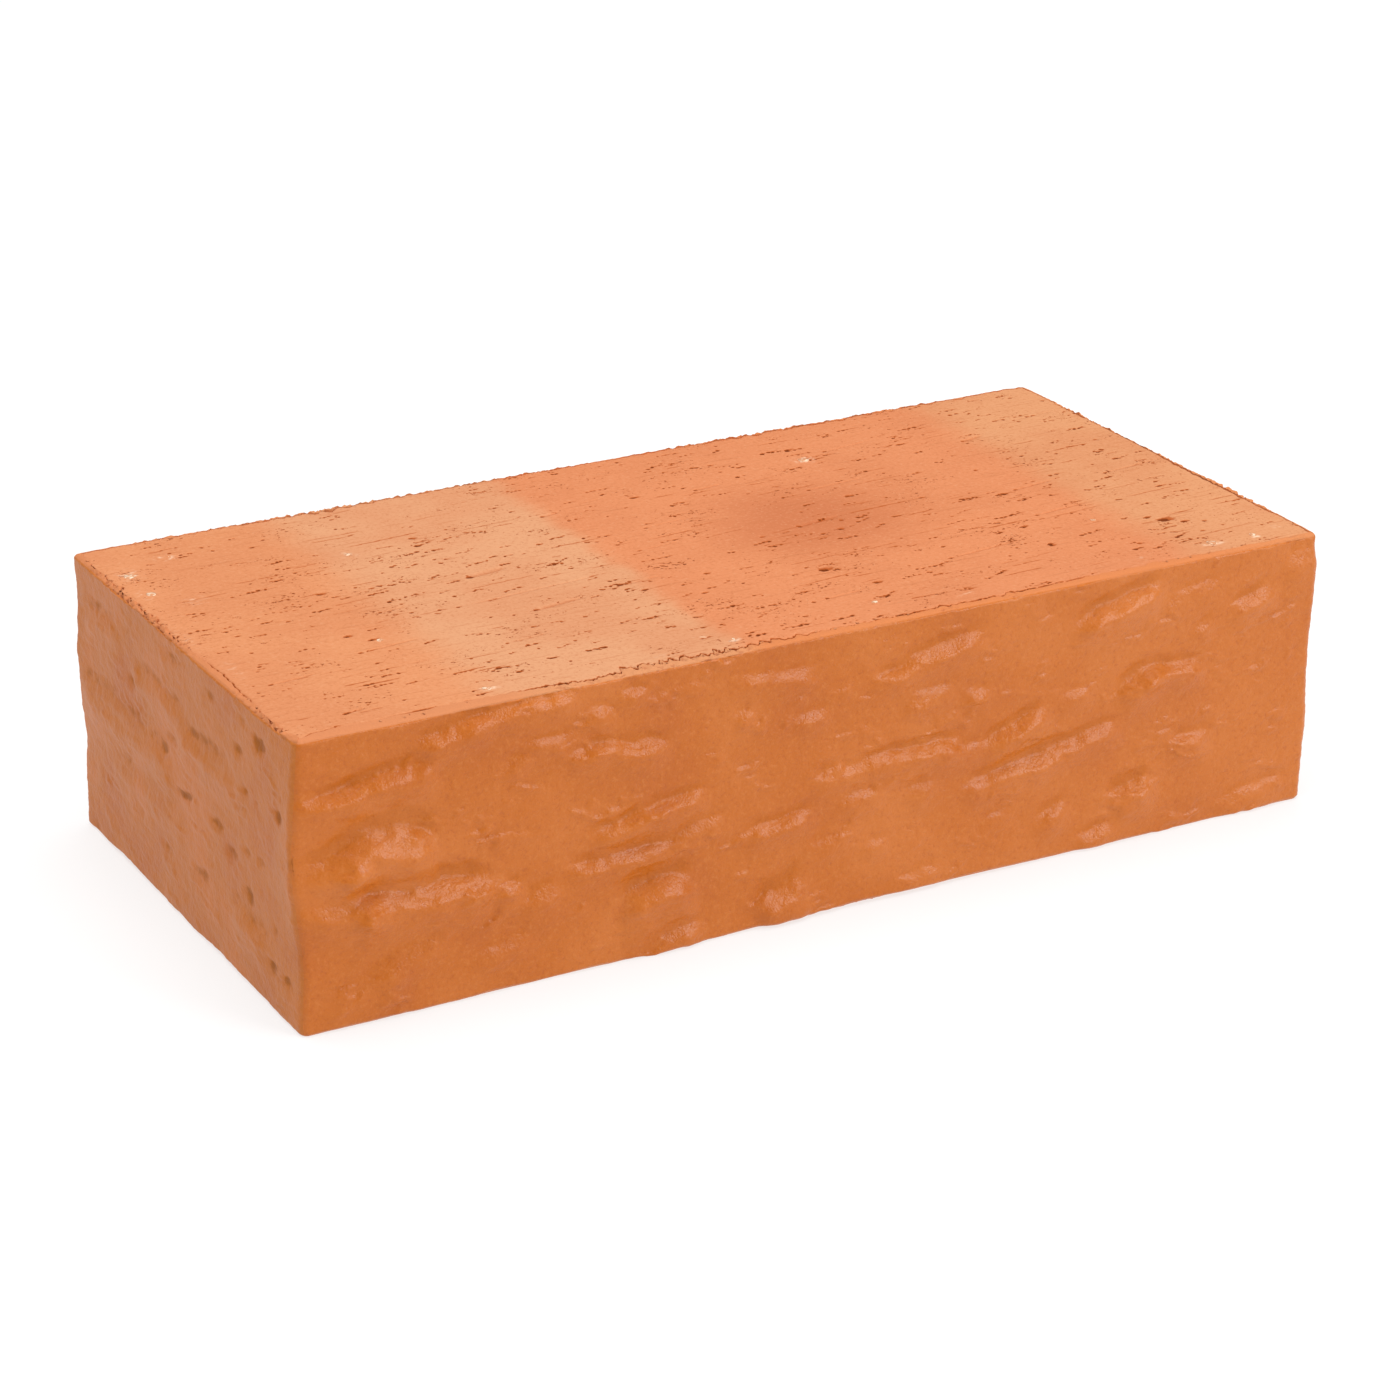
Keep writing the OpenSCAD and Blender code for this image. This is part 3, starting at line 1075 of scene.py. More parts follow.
@dataclass
class ClayBed:
    """Half of the clay body with its wire-cut bed, from that bed to the brick's mid-height.

    Pit_runs and drags count the small marks drawn at random. The rim is how far the bed stops
    short of the brick's outline, under the skins' lips.
    """

    size: BrickSize
    on_top: bool
    name: str
    gouges: list[Gouge] = field(default_factory=list)
    pits: list[Pit] = field(default_factory=list)
    scuffs: list[Scuff] = field(default_factory=list)
    pit_runs: int = 640
    drags: int = 150
    step: float = 0.3
    rim: float = 1.2
    most_faces: int = 188_000
    seed: int = 3

    def __post_init__(self) -> None:
        """Lays out the grid and the empty fields of depth, of torn clay with painted shade, and of chalk.
        """
        half_x, half_y = self.size.length / 2 - self.rim, self.size.width / 2 - self.rim
        self.x = np.linspace(-half_x, half_x, round(2 * half_x / self.step) + 1)
        self.y = np.linspace(-half_y, half_y, round(2 * half_y / self.step) + 1)
        shape = (len(self.y), len(self.x))
        self.depth, self.tear, self.chalk = np.zeros(shape), np.zeros(shape), np.zeros(shape)
        gx, gy = np.meshgrid(self.x, self.y)
        self.grid = np.stack([gx, gy, np.full(shape, self.size.height if self.on_top else 0.0)], -1)
        self.fuzz = ClayNoise(self.seed + 50).at(self.grid, (0.9, 0.55, 1.0), 2)
        self.shred = ClayNoise(self.seed + 51).at(self.grid, (2.6, 0.5, 1.0), 2)

    def _window(self, x: float, y: float, reach: float) -> tuple[slice, slice]:
        """Finds the part of the grid round one mark.

        Args:
            x: Middle of the mark.
            y: Middle of the mark.
            reach: How far it may reach.

        Returns:
            The rows and columns to change.
        """
        columns = np.searchsorted(self.x, (x - reach, x + reach))
        rows = np.searchsorted(self.y, (y - reach, y + reach))
        return slice(*rows), slice(*columns)

    def _cut(self, x: float, y: float, long: float, wide: float, deep: float, turn: float,
             torn: float, tone: float, square: float = 2.0) -> None:
        """Cuts one torn oval into the bed.

        Args:
            x: Middle of the mark, in the row frame.
            y: Middle of the mark, in the row frame.
            long: Length of the mark.
            wide: Width of the mark.
            deep: Depth of the mark.
            turn: Angle of its length from the X axis, in radians.
            torn: How ragged its outline is.
            tone: How dark its floor is painted, 0 to 1: torn clay, and partly shade in the hole.
            square: Power of the outline, from a pointed oval at 1.5 to a slot at 4.
        """
        at = self._window(x, y, long * 0.75 + wide)
        px, py = self.grid[at][..., 0] - x, self.grid[at][..., 1] - y
        a = (px * math.cos(turn) + py * math.sin(turn)) / (long / 2)
        b = (py * math.cos(turn) - px * math.sin(turn)) / (wide / 2)
        ragged = torn * (0.6 * self.fuzz[at] + 0.6 * self.shred[at])
        reach = (np.abs(a) ** square + np.abs(b) ** square) ** (1 / square) + ragged
        inside = 1 - ease(reach, 0.6, 1.1)
        floor = deep * (0.75 + 0.35 * self.shred[at])
        self.depth[at] = np.maximum(self.depth[at], inside * np.clip(floor, 0.04, None))
        self.tear[at] = np.maximum(self.tear[at], inside * tone * (0.85 + 0.3 * self.fuzz[at]))

    def _cut_noted(self) -> None:
        """Cuts the gouges and pits that have a place of their own."""
        left, front = -self.size.length / 2, -self.size.width / 2
        for g in self.gouges:
            turn = math.atan2(g.y1 - g.y0, g.x1 - g.x0)
            long = math.hypot(g.x1 - g.x0, g.y1 - g.y0)
            x, y = left + (g.x0 + g.x1) / 2, front + (g.y0 + g.y1) / 2
            self._cut(x, y, long, g.wide, g.deep, turn, torn=0.30, tone=0.16, square=3.0)
            # The wire caught a grain at the start of the groove and left a hole there, painted dark
            # as torn clay and partly as shade.
            start = left + g.x0 + 0.6, front + g.y0 + 0.1
            wide = g.wide * 0.5
            self._cut(*start, 1.0 + wide, 0.4 + wide, g.deep + 0.15, turn, torn=0.5, tone=0.9)
        for p in self.pits:
            x, y = left + p.x, front + p.y
            self._cut(x, y, p.long, p.wide, p.deep * 0.5, 0.08, torn=0.55, tone=0.3)
            self._cut(x - p.long * 0.12, y, p.long * 0.6, p.wide * 0.7, p.deep, 0.08, torn=0.6, tone=1.0)

    def _cut_drawn(self) -> None:
        """Cuts the small marks: shallow drag lines, then runs of pits, each with a faint tail."""
        dice = np.random.default_rng(self.seed)
        half = np.array([0.49 * self.size.length, 0.48 * self.size.width])
        for _ in range(self.drags):
            x, y = dice.uniform(-half, half)
            long = dice.gamma(2.2, 3.0) + 2
            wide, deep, turn = dice.uniform(0.3, 0.5), dice.uniform(0.04, 0.12), dice.normal(0.06, 0.03)
            self._cut(x, y, long, wide, deep, turn, torn=0.6, tone=dice.uniform(0.12, 0.38), square=3.0)
        crowds = dice.uniform(-half, half, (90, 2))
        for run in range(self.pit_runs):
            # Every third run starts in a crowd, and the others anywhere.
            if run % 3:
                spot = dice.uniform(-half, half)
            else:
                spot = crowds[dice.integers(len(crowds))] + dice.normal(0, (5, 2))
            heavy = dice.beta(1.3, 3.2)
            for _ in range(1 + dice.poisson(1.2)):
                long = 0.55 + 1.3 * heavy * dice.uniform(0.4, 1.0)
                wide = long * dice.uniform(0.45, 0.8)
                tone = dice.uniform(0.55, 0.9) + 0.5 * heavy
                turn = dice.normal(0.1, 0.35)
                self._cut(*spot, long, wide, 0.14 + 0.4 * heavy, turn, torn=0.6, tone=tone)
                tail = dice.gamma(2.0, 0.6)
                self._cut(spot[0] + tail * 0.5, spot[1] + 0.04, tail + long, 0.36, 0.05, 0.08,
                          torn=0.5, tone=dice.uniform(0.1, 0.35))
                spot = spot + (dice.uniform(0.5, 1.9), dice.normal(0.05, 0.35))

    def _dust(self) -> None:
        """Rubs the chalky scuffs on, in flecks."""
        left, front = -self.size.length / 2, -self.size.width / 2
        for mark in self.scuffs:
            px = (self.grid[..., 0] - left - mark.x) / (mark.long / 2)
            py = (self.grid[..., 1] - front - mark.y) / (mark.wide / 2)
            patch = 1 - ease(np.hypot(px, py), 0.2, 1.25)
            fleck = ease(self.fuzz + 0.6 * self.shred, 0.15 - 0.7 * mark.solid, 0.55 - 0.5 * mark.solid)
            self.chalk = np.maximum(self.chalk, mark.strength * patch * fleck)

    def _rim_drop(self) -> np.ndarray:
        """Works out the crack beside each lip, and how the bed dives under the lip.

        Returns:
            How far each place of the grid drops.
        """
        drop = np.zeros(self.depth.shape)
        for side in Side:
            line = ARRIS_LINES[side, self.on_top]
            offset = self.grid[..., :2] @ side.along[:2] + side.span(self.size) / 2
            inset = side.reach(self.size) - self.grid[..., :2] @ side.outward[:2]
            near = inset < 6
            past = inset[near] - line.inset(offset[near], self.size)
            groove = line.crack(offset[near]) * bell(past, 0.02, 0.36)
            under = 0.75 * (1 - ease(past, -0.45, 0.0))
            drop[near] = np.maximum(drop[near], np.maximum(groove, under))
            # Where the lip lies lower, the torn edge of the bed shows as a step. The crack and the step
            # are painted dark: torn clay, and partly painted shade.
            torn_step = ease(-line.lift(offset[near]), 0.04, 0.22) * bell(past, -0.16, 0.28)
            torn_step = torn_step * ease(self.fuzz[near] + self.shred[near], -0.45, 0.1)
            dark = np.maximum(0.9 * ease(groove, 0.10, 0.45), 0.75 * torn_step)
            self.tear[near] = np.maximum(self.tear[near], dark)
        return drop

    def _sample(self, values: np.ndarray, points: np.ndarray) -> np.ndarray:
        """Reads a field of the grid at some points, between its four nearest values.

        Args:
            values: The field.
            points: Where to read it.

        Returns:
            One number for each point.
        """
        fx = np.clip((points[:, 0] - self.x[0]) / (self.x[1] - self.x[0]), 0, len(self.x) - 1.001)
        fy = np.clip((points[:, 1] - self.y[0]) / (self.y[1] - self.y[0]), 0, len(self.y) - 1.001)
        i, j = fx.astype(int), fy.astype(int)
        fx, fy = fx - i, fy - j
        low = values[j, i] * (1 - fx) + values[j, i + 1] * fx
        high = values[j + 1, i] * (1 - fx) + values[j + 1, i + 1] * fx
        return low * (1 - fy) + high * fy

    def build(self) -> bpy.types.Object:
        """Models the half block from a flat sheet.

        Returns:
            The finished piece, without its material.
        """
        self._cut_noted()
        self._cut_drawn()
        self._dust()
        piece = add_sheet(self.name, len(self.x), len(self.y))
        swell = 0.10 * ClayNoise(self.seed + 60).at(self.grid, (40, 30, 1), 2)
        wire = 0.018 * ClayNoise(self.seed + 61).at(self.grid, (22, 1.3, 1), 2)
        sand = 0.016 * ClayNoise(self.seed + 62).at(self.grid, (0.9, 0.8, 1), 2)
        level = swell + wire + sand - self.depth - self._rim_drop()
        points = self.grid.copy()
        # The bottom bed is only ever hollow, because it rests on its high places.
        points[..., 2] += level if self.on_top else -np.minimum(level, 0.0)
        set_points(piece, points.reshape(-1, 3))
        self._close(piece)
        self._thin(piece)
        at = points_of(piece)
        skin = np.abs(at[:, 2] - self.size.height / 2) > self.size.height / 4
        paint(piece, "tear", self._sample(self.tear, at) * skin)
        paint(piece, "chalk", self._sample(self.chalk, at) * skin)
        self._lay_out(piece, at)
        return smooth(piece, 50)

    def _close(self, piece: bpy.types.Object) -> None:
        """Draws the sheet's rim to mid-height and fills the far side.

        Args:
            piece: The sheet, in its final shape.
        """
        rim = np.ones(self.depth.shape, bool)
        rim[1:-1, 1:-1] = False
        inwards = (-1 if self.on_top else 1) * self.size.height / 2 * MM
        edit_points(piece, rim.ravel(), lambda: bpy.ops.mesh.extrude_region_move(
            TRANSFORM_OT_translate={"value": (0, 0, inwards)}))
        points = points_of(piece)
        added = np.arange(len(points)) >= rim.size
        points[added, 2] = self.size.height / 2
        set_points(piece, points)
        edit_points(piece, added, bpy.ops.mesh.edge_face_add)
        edit_all(piece, turn_outwards)

    def _thin(self, piece: bpy.types.Object) -> None:
        """Collapses the smooth stretches, so that the pits keep the fine faces.

        Args:
            piece: The closed piece.
        """
        take_up(piece)
        faces = 2 * (self.depth.shape[0] - 1) * (self.depth.shape[1] - 1)
        bpy.ops.object.modifier_add(type="DECIMATE")
        thin = piece.modifiers[-1]
        thin.ratio = min(1.0, self.most_faces / faces)
        bpy.ops.object.modifier_apply(modifier=thin.name)

    def _lay_out(self, piece: bpy.types.Object, at: np.ndarray) -> None:
        """Lays the bed over nearly the whole map, with the hidden walls in a strip.

        Args:
            piece: The closed piece.
            at: Its vertices.
        """
        strip = 0.04
        vertex, face = corner_points(piece)
        normal, middle = (np.zeros(len(piece.data.polygons) * 3) for _ in range(2))
        piece.data.polygons.foreach_get("normal", normal)
        piece.data.polygons.foreach_get("center", middle)
        upright = normal[2::3] * (1 if self.on_top else -1)
        far = np.abs(middle[2::3] / MM - self.size.height / 2) > self.size.height / 4
        shown = ((upright > 0.05) & far)[face]
        across = 0.002 + 0.996 * (at[:, 0] - self.x[0]) / np.ptp(self.x)
        up = strip + (0.998 - strip) * (at[:, 1] - self.y[0]) / np.ptp(self.y)
        u_hidden, v_hidden = hidden_layout(at, strip)
        store_map(piece, np.where(shown, across[vertex], u_hidden[vertex]),
                  np.where(shown, up[vertex], v_hidden[vertex]))


# ---------------------------------------------------------------- grains and crumbs


@dataclass
class PaleGrains:
    """Pale mineral grains in the beds, roughened from their CAD solids."""

    node: str = "exposed_grains"
    proud: float = 0.04
    rough: float = 0.30

    def build(self) -> bpy.types.Object:
        """Copies the CAD grains and breaks their round outlines.

        Returns:
            The finished piece, without its material.
        """
        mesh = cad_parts[self.node].data.copy()
        piece = bpy.data.objects.new("pale_grains", mesh)
        mesh.name = piece.name
        bpy.context.scene.collection.objects.link(piece)
        mesh.materials.clear()
        edit_all(piece, lambda: bpy.ops.mesh.remove_doubles(threshold=1e-6))
        at = points_of(piece)
        top = at[:, 2] > (at[:, 2].min() + at[:, 2].max()) / 2
        lumps = np.stack([ClayNoise(s).at(at, (0.9, 0.9, 0.9), 2) for s in (71, 72, 73)], -1)
        at += self.rough * lumps * [1, 1, 0.35]
        at[:, 2] = np.where(top, at[:, 2] + self.proud, np.maximum(at[:, 2], 0.03))
        set_points(piece, at)
        edit_all(piece, turn_outwards)
        return smooth(piece, 35)


@dataclass
class ArrisCrumbs:
    """Torn crumbs of clay that the cutting wire left along the top's left and front arrises.

    Each stretch of an arris is where it starts and ends, and how many crumbs it has.
    """

    size: BrickSize
    left_stretches: tuple[tuple[float, float, int], ...] = ((54, 104, 46), (18, 34, 8), (4, 12, 7))
    front_stretches: tuple[tuple[float, float, int], ...] = (
        (58, 108, 26), (120, 165, 8), (190, 240, 10), (10, 50, 5))
    seed: int = 9

    def _places(self) -> list[tuple[float, float, float]]:
        """Chooses where crumbs sit, as x and y from the front left corner, and a size.

        Returns:
            The x, y and radius of each crumb.
        """
        dice = np.random.default_rng(self.seed)
        places = []
        for low, high, count in self.left_stretches:
            for _ in range(count):
                places.append((dice.uniform(0.6, 1.9), dice.uniform(low, high), dice.uniform(0.14, 0.36)))
        for low, high, count in self.front_stretches:
            for _ in range(count):
                places.append((dice.uniform(low, high), dice.uniform(1.4, 2.8), dice.uniform(0.12, 0.28)))
        return places

    def build(self) -> bpy.types.Object:
        """Models one crumb, then strews copies of it, each broken differently.

        Returns:
            The finished piece, without its material.
        """
        deselect_all()
        bpy.ops.mesh.primitive_ico_sphere_add(subdivisions=2, radius=MM)
        pattern = bpy.context.object
        ball = points_of(pattern)
        dice = np.random.default_rng(self.seed + 1)
        copies = []
        for number, (x, y, radius) in enumerate(self._places()):
            crumb = bpy.data.objects.new(f"crumb_{number}", pattern.data.copy())
            bpy.context.scene.collection.objects.link(crumb)
            lumps = 1 + 0.45 * ClayNoise(80).at(ball + number * 3.7, (0.9, 0.9, 0.9), 2)
            stretch = np.array([dice.uniform(0.8, 1.7), dice.uniform(0.7, 1.3), dice.uniform(0.3, 0.55)])
            turn = Matrix.Rotation(dice.uniform(0, math.tau), 3, "Z")
            shape = (ball * lumps[:, None] * radius * stretch) @ np.array(turn)
            # A crumb sits a little into the bed, and lower where the arris curves away.
            z = self.size.height - 0.12 * radius - max(1.4 - x, 0.0) * 0.35
            set_points(crumb, shape + [x - self.size.length / 2, y - self.size.width / 2, z])
            copies.append(crumb)
        bpy.data.objects.remove(pattern)
        deselect_all()
        for crumb in copies:
            crumb.select_set(True)
        bpy.context.view_layer.objects.active = copies[0]
        bpy.ops.object.join()
        piece = bpy.context.object
        piece.name = piece.data.name = "arris_crumbs"
        return smooth(piece, 40)


# ---------------------------------------------------------------- finishes


def add_node(tree: bpy.types.NodeTree, kind: str, settings: dict | None = None,
             inputs: dict | None = None) -> bpy.types.Node:
    """Adds one shader node.

    Args:
        tree: The material's or the world's node tree.
        kind: The node's type name without its "ShaderNode", such as "TexNoise".
        settings: Properties of the node by name.
        inputs: Sockets by identifier, name or number, each with its value or the output that feeds it.

    Returns:
        The new node.
    """
    node = tree.nodes.new("ShaderNode" + kind)
    for name, value in (settings or {}).items():
        setattr(node, name, value)
    sockets = {socket.identifier: socket for socket in node.inputs}
    for key, value in (inputs or {}).items():
        socket = sockets.get(key) or node.inputs[key]
        if isinstance(value, bpy.types.NodeSocket):
            tree.links.new(value, socket)
        else:
            socket.default_value = value
    return node


class Coat:
    """A finish in the making: its nodes, and the colour that the layers so far give."""

    def __init__(self, name: str, base: str | None = None) -> None:
        """Starts an empty material.

        Args:
            name: What the material is called.
            base: Colour under all the layers, as hex digits.
        """
        self.material = bpy.data.materials.new(name)
        self.material.use_nodes = True
        self.tree = self.material.node_tree
        self.tree.nodes.clear()
        self.place = add_node(self.tree, "TexCoord").outputs["Object"]
        self.colour = hex_to_linear(base) if base else None

    def pattern(self, size: float, stretch: tuple[float, float, float] = (1, 1, 1), detail: float = 2.0,
                rough: float = 0.5) -> bpy.types.NodeSocket:
        """Adds a mottled pattern.

        Args:
            size: How far apart its lumps are, in millimetres.
            stretch: How many times longer the lumps are along X, Y and Z.
            detail: How many finer layers it has.
            rough: How strong the finer layers are.

        Returns:
            The pattern's value, about 0.3 to 0.7.
        """
        squeezed = add_node(self.tree, "Mapping", None, {
            "Vector": self.place, "Scale": [1 / s for s in stretch]})
        node = add_node(self.tree, "TexNoise", None, {
            "Vector": squeezed.outputs["Vector"], "Scale": 1 / (size * MM),
            "Detail": detail, "Roughness": rough})
        return node.outputs["Fac"]

    def stain(self, value: bpy.types.NodeSocket, low: float, high: float, most: float,
              over: str | bpy.types.NodeSocket) -> None:
        """Lays a colour over the coat where a value lies past a limit.

        Args:
            value: What decides where the colour shows.
            low: Where the colour starts to show, which may be more than high.
            high: Where it shows most.
            most: How much it covers there, from 0 to 1.
            over: The colour, as hex digits or as an output.
        """
        over = hex_to_linear(over) if isinstance(over, str) else over
        first, last, low, high = (0, most, low, high) if low < high else (most, 0, high, low)
        cover = add_node(self.tree, "MapRange", {"interpolation_type": "SMOOTHSTEP"}, {
            "Value": value, "From Min": low, "From Max": high, "To Min": first, "To Max": last})
        self.colour = add_node(self.tree, "Mix", {"data_type": "RGBA"}, {
            "Factor_Float": cover.outputs["Result"], "A_Color": self.colour, "B_Color": over}).outputs[2]

    def kiln_bands(self, mottle: bpy.types.NodeSocket, stops: list[tuple[float, str]]) -> None:
        """Colours the brick in bands from the left header to the right one.

        Args:
            mottle: Pattern that makes the bands' edges wander.
            stops: For each stop its place in millimetres from the left end, and its colour.
        """
        along = add_node(self.tree, "SeparateXYZ", None, {"Vector": self.place}).outputs["X"]
        wander = 8 * MM
        wavy = add_node(self.tree, "Math", {"operation": "MULTIPLY_ADD"}, {0: mottle, 1: wander, 2: along})
        # The mottle averages a half, so it moves every band by half of the wander.
        left, right = CAD_BOX[0][0] + wander / 2, CAD_BOX[1][0] + wander / 2
        share = add_node(self.tree, "MapRange", None, {
            "Value": wavy.outputs[0], "From Min": left, "From Max": right})
        ramp = add_node(self.tree, "ValToRGB", None, {"Fac": share.outputs["Result"]})
        ramp.color_ramp.interpolation = "EASE"
        while len(ramp.color_ramp.elements) < len(stops):
            ramp.color_ramp.elements.new(0.5)
        first, last = stops[0][0], stops[-1][0]
        for element, (at, code) in zip(ramp.color_ramp.elements, stops):
            element.position = (at - first) / (last - first)
            element.color = hex_to_linear(code)
        self.colour = ramp.outputs["Color"]

    def finish(self, bumps: list[tuple[bpy.types.NodeSocket, float, float]],
               shader: dict) -> bpy.types.Material:
        """Ends the coat with its bumps, which are too fine for the mesh, and its shader.

        Args:
            bumps: For each bump its height pattern, its strength and its depth in millimetres.
            shader: The shader's sockets and their values.

        Returns:
            The material.
        """
        sockets = {"Base Color": self.colour} | shader
        for height, strength, deep in bumps:
            under = {"Normal": sockets["Normal"]} if "Normal" in sockets else {}
            bump = add_node(self.tree, "Bump", None, {
                "Height": height, "Strength": strength, "Distance": deep * MM} | under)
            sockets["Normal"] = bump.outputs["Normal"]
        node = add_node(self.tree, "BsdfPrincipled", None, sockets)
        add_node(self.tree, "OutputMaterial", None, {"Surface": node.outputs["BSDF"]})
        return self.material


@dataclass(frozen=True)
class WireCutClay:
    """Matt fired clay, cut by a wire while it was wet.

    The wire drags sand grains along the brick, so the surface has fine scratches along X and torn
    pits, whose dark floors are partly torn clay and partly painted shade. The kiln colours it in
    bands, where the bricks stacked on it lay crosswise and shaded it.
    """

    bands: tuple[tuple[float, str], ...] = (
        (0, "CF885C"), (38, "CF885C"), (54, "CE936B"), (99, "CE936B"),
        (106, "CE8156"), (210, "CE8156"), (222, "CD8E63"), (250, "CD8E63"))
    blotch_at: tuple[float, float, float] = (0.030, 0.002, 0.065)
    blotch: str = "B7663F"
    cloud: str = "C0734A"
    sand: str = "D59C74"
    dust: str = "B36A40"
    torn: str = "A8501A"
    deep: str = "70300A"
    chalk: str = "EBD0B4"
    roughness: float = 0.9
    uneven: float = 0.06
    ior: float = 1.25

    def make(self) -> bpy.types.Material:
        """Builds the material.

        Returns:
            The finished material.
        """
        coat = Coat("wire_cut_fired_clay")
        mottle = coat.pattern(9.0, detail=3.0)
        coat.kiln_bands(mottle, list(self.bands))
        # One overfired blotch, with a ragged edge.
        away = add_node(coat.tree, "VectorMath", {"operation": "DISTANCE"}, {
            0: coat.place, 1: self.blotch_at})
        ragged = add_node(coat.tree, "Math", {"operation": "MULTIPLY_ADD"}, {
            0: mottle, 1: 12 * MM, 2: away.outputs["Value"]})
        coat.stain(ragged.outputs[0], 40 * MM, 10 * MM, 0.75, self.blotch)
        coat.stain(coat.pattern(26.0), 0.38, 0.65, 0.3, self.cloud)
        grit = coat.pattern(0.8, detail=3.0, rough=0.6)
        coat.stain(grit, 0.50, 0.72, 0.40, self.dust)
        coat.stain(grit, 0.46, 0.28, 0.30, self.sand)
        streak = coat.pattern(0.9, (14, 1, 1), 3.0)
        coat.stain(streak, 0.57, 0.74, 0.35, self.dust)
        # Small holes that grains left when the wire pulled them out, in crowds drawn along X.
        # Their floors are painted dark: partly torn clay, partly painted shade in the hole.
        crowd = coat.pattern(7.0, (2, 1, 1))
        holes = add_node(coat.tree, "Math", {"operation": "MULTIPLY_ADD"}, {
            0: crowd, 1: 0.5, 2: coat.pattern(0.75, (1.3, 1, 1), 4.0, 0.6)}).outputs[0]
        coat.stain(holes, 0.91, 0.965, 0.85, self.torn)
        coat.stain(holes, 0.955, 1.005, 0.9, self.deep)
        # The marks cut in the mesh: torn clay, with the dark floors of pits and cracks partly painted
        # shade.
        tear = add_node(coat.tree, "Attribute", {"attribute_name": "tear"}).outputs["Fac"]
        coat.stain(tear, 0.03, 0.28, 0.9, self.torn)
        coat.stain(tear, 0.28, 0.65, 0.95, self.deep)
        chalk = add_node(coat.tree, "Attribute", {"attribute_name": "chalk"}).outputs["Fac"]
        coat.stain(chalk, 0.0, 1.0, 1.0, self.chalk)
        sunk = add_node(coat.tree, "MapRange", None, {
            "Value": holes, "From Min": 0.89, "From Max": 0.98, "To Min": 1.0, "To Max": 0.0})
        matt = add_node(coat.tree, "MapRange", None, {
            "Value": grit, "From Min": 0.3, "From Max": 0.7,
            "To Min": self.roughness - self.uneven, "To Max": self.roughness + self.uneven})
        bumps = [(height, 0.35, 0.2) for height in (grit, streak, sunk.outputs["Result"])]
        return coat.finish(bumps, {"IOR": self.ior, "Roughness": matt.outputs["Result"]})


@dataclass(frozen=True)
class FiredSkinFinish:
    """Satin fired skin, smoothed by the die and dragged by texturing rollers.

    The die brings fine clay to the surface, which fires to a faint sheen, deeper and more orange
    than the cut body, with a pebbly grain and fine streaks along the way the column was extruded.
    Shade is painted into its hollows as a darker colour, and their sheen is turned down; on its lip
    the skin is as pale and rough as the bed.
    """

    name: str = "satin_rolled_skin"
    base: str = "BD6417"
    # A paler tone, laid on at random, and also as painted light towards the right end.
    light: str = "C56E29"
    dark: str = "B35A15"
    pebble: str = "CB7835"
    pore: str = "A85011"
    # The colour of the shade painted into the hollows.
    hollow_shade: str = "9A5420"
    lip_bands: tuple[tuple[float, str], ...] = (
        (0, "C87C4E"), (45, "C87E50"), (60, "CA8759"), (100, "CA8759"),
        (107, "CA7843"), (212, "CA7843"), (250, "C97E4C"))
    torn: str = "A2542A"
    deep: str = "6A2E0E"
    roughness: float = 0.32
    lip_roughness: float = 0.45
    ior: float = 1.40
    shadow: float = 0.15
    hollow_shine: float = 0.35
    drawn: float = 0.0

    def make(self) -> bpy.types.Material:
        """Builds the material.

        Returns:
            The finished material.
        """
        coat = Coat(self.name, self.base)
        cloud = coat.pattern(22.0, detail=3.0)
        coat.kiln_bands(cloud, list(self.lip_bands))
        lip_colour, coat.colour = coat.colour, hex_to_linear(self.base)
        coat.stain(cloud, 0.46, 0.68, 0.7, self.light)
        coat.stain(cloud, 0.50, 0.30, 0.5, self.dark)
        along = add_node(coat.tree, "SeparateXYZ", None, {"Vector": coat.place}).outputs["X"]
        # Painted light: the skin grows paler towards the brick's right end, where the key lamp falls.
        coat.stain(along, -0.03, 0.12, 0.4, self.light)
        pebble = coat.pattern(0.9, detail=3.0, rough=0.6)
        coat.stain(pebble, 0.52, 0.72, 0.40, self.pebble)
        coat.stain(pebble, 0.46, 0.28, 0.40, self.pore)
        hollow_shade = add_node(coat.tree, "Attribute", {"attribute_name": "hollow_shade"}).outputs["Fac"]
        # Painted shade: the creases and hollows are darkened, and their sheen is turned down below, as if
        # they lay in shade.
        coat.stain(hollow_shade, 0.1, 1.0, self.shadow, self.hollow_shade)
        lip = add_node(coat.tree, "Attribute", {"attribute_name": "lip"}).outputs["Fac"]
        coat.stain(lip, 0.0, 1.0, 0.95, lip_colour)
        # Torn clay on a broken arris, darker in its sunken bits: partly its own colour, partly painted
        # shade.
        tear = add_node(coat.tree, "Attribute", {"attribute_name": "tear"}).outputs["Fac"]
        coat.stain(tear, 0.1, 0.6, 0.6, self.torn)
        coat.stain(tear, 0.6, 1.0, 0.7, self.deep)
        satin = add_node(coat.tree, "MapRange", None, {
            "Value": pebble, "From Min": 0.3, "From Max": 0.7,
            "To Min": self.roughness - 0.04, "To Max": self.roughness + 0.06})
        rough = add_node(coat.tree, "Math", {"operation": "MULTIPLY_ADD"}, {
            0: lip, 1: self.lip_roughness, 2: satin.outputs["Result"]})
        shine = add_node(coat.tree, "MapRange", None, {
            "Value": hollow_shade, "From Min": 0.0, "From Max": 0.6, "To Min": 0.5, "To Max": self.hollow_shine})
        bumps = [(pebble, 0.45, 0.3), (coat.pattern(0.45, detail=1.0), 0.35, 0.12)]
        if self.drawn:
            bumps.append((coat.pattern(0.9, (1, 1, 12)), self.drawn, 0.25))
        return coat.finish(bumps, {"IOR": self.ior, "Roughness": rough.outputs[0],
                                   "Specular IOR Level": shine.outputs["Result"]})


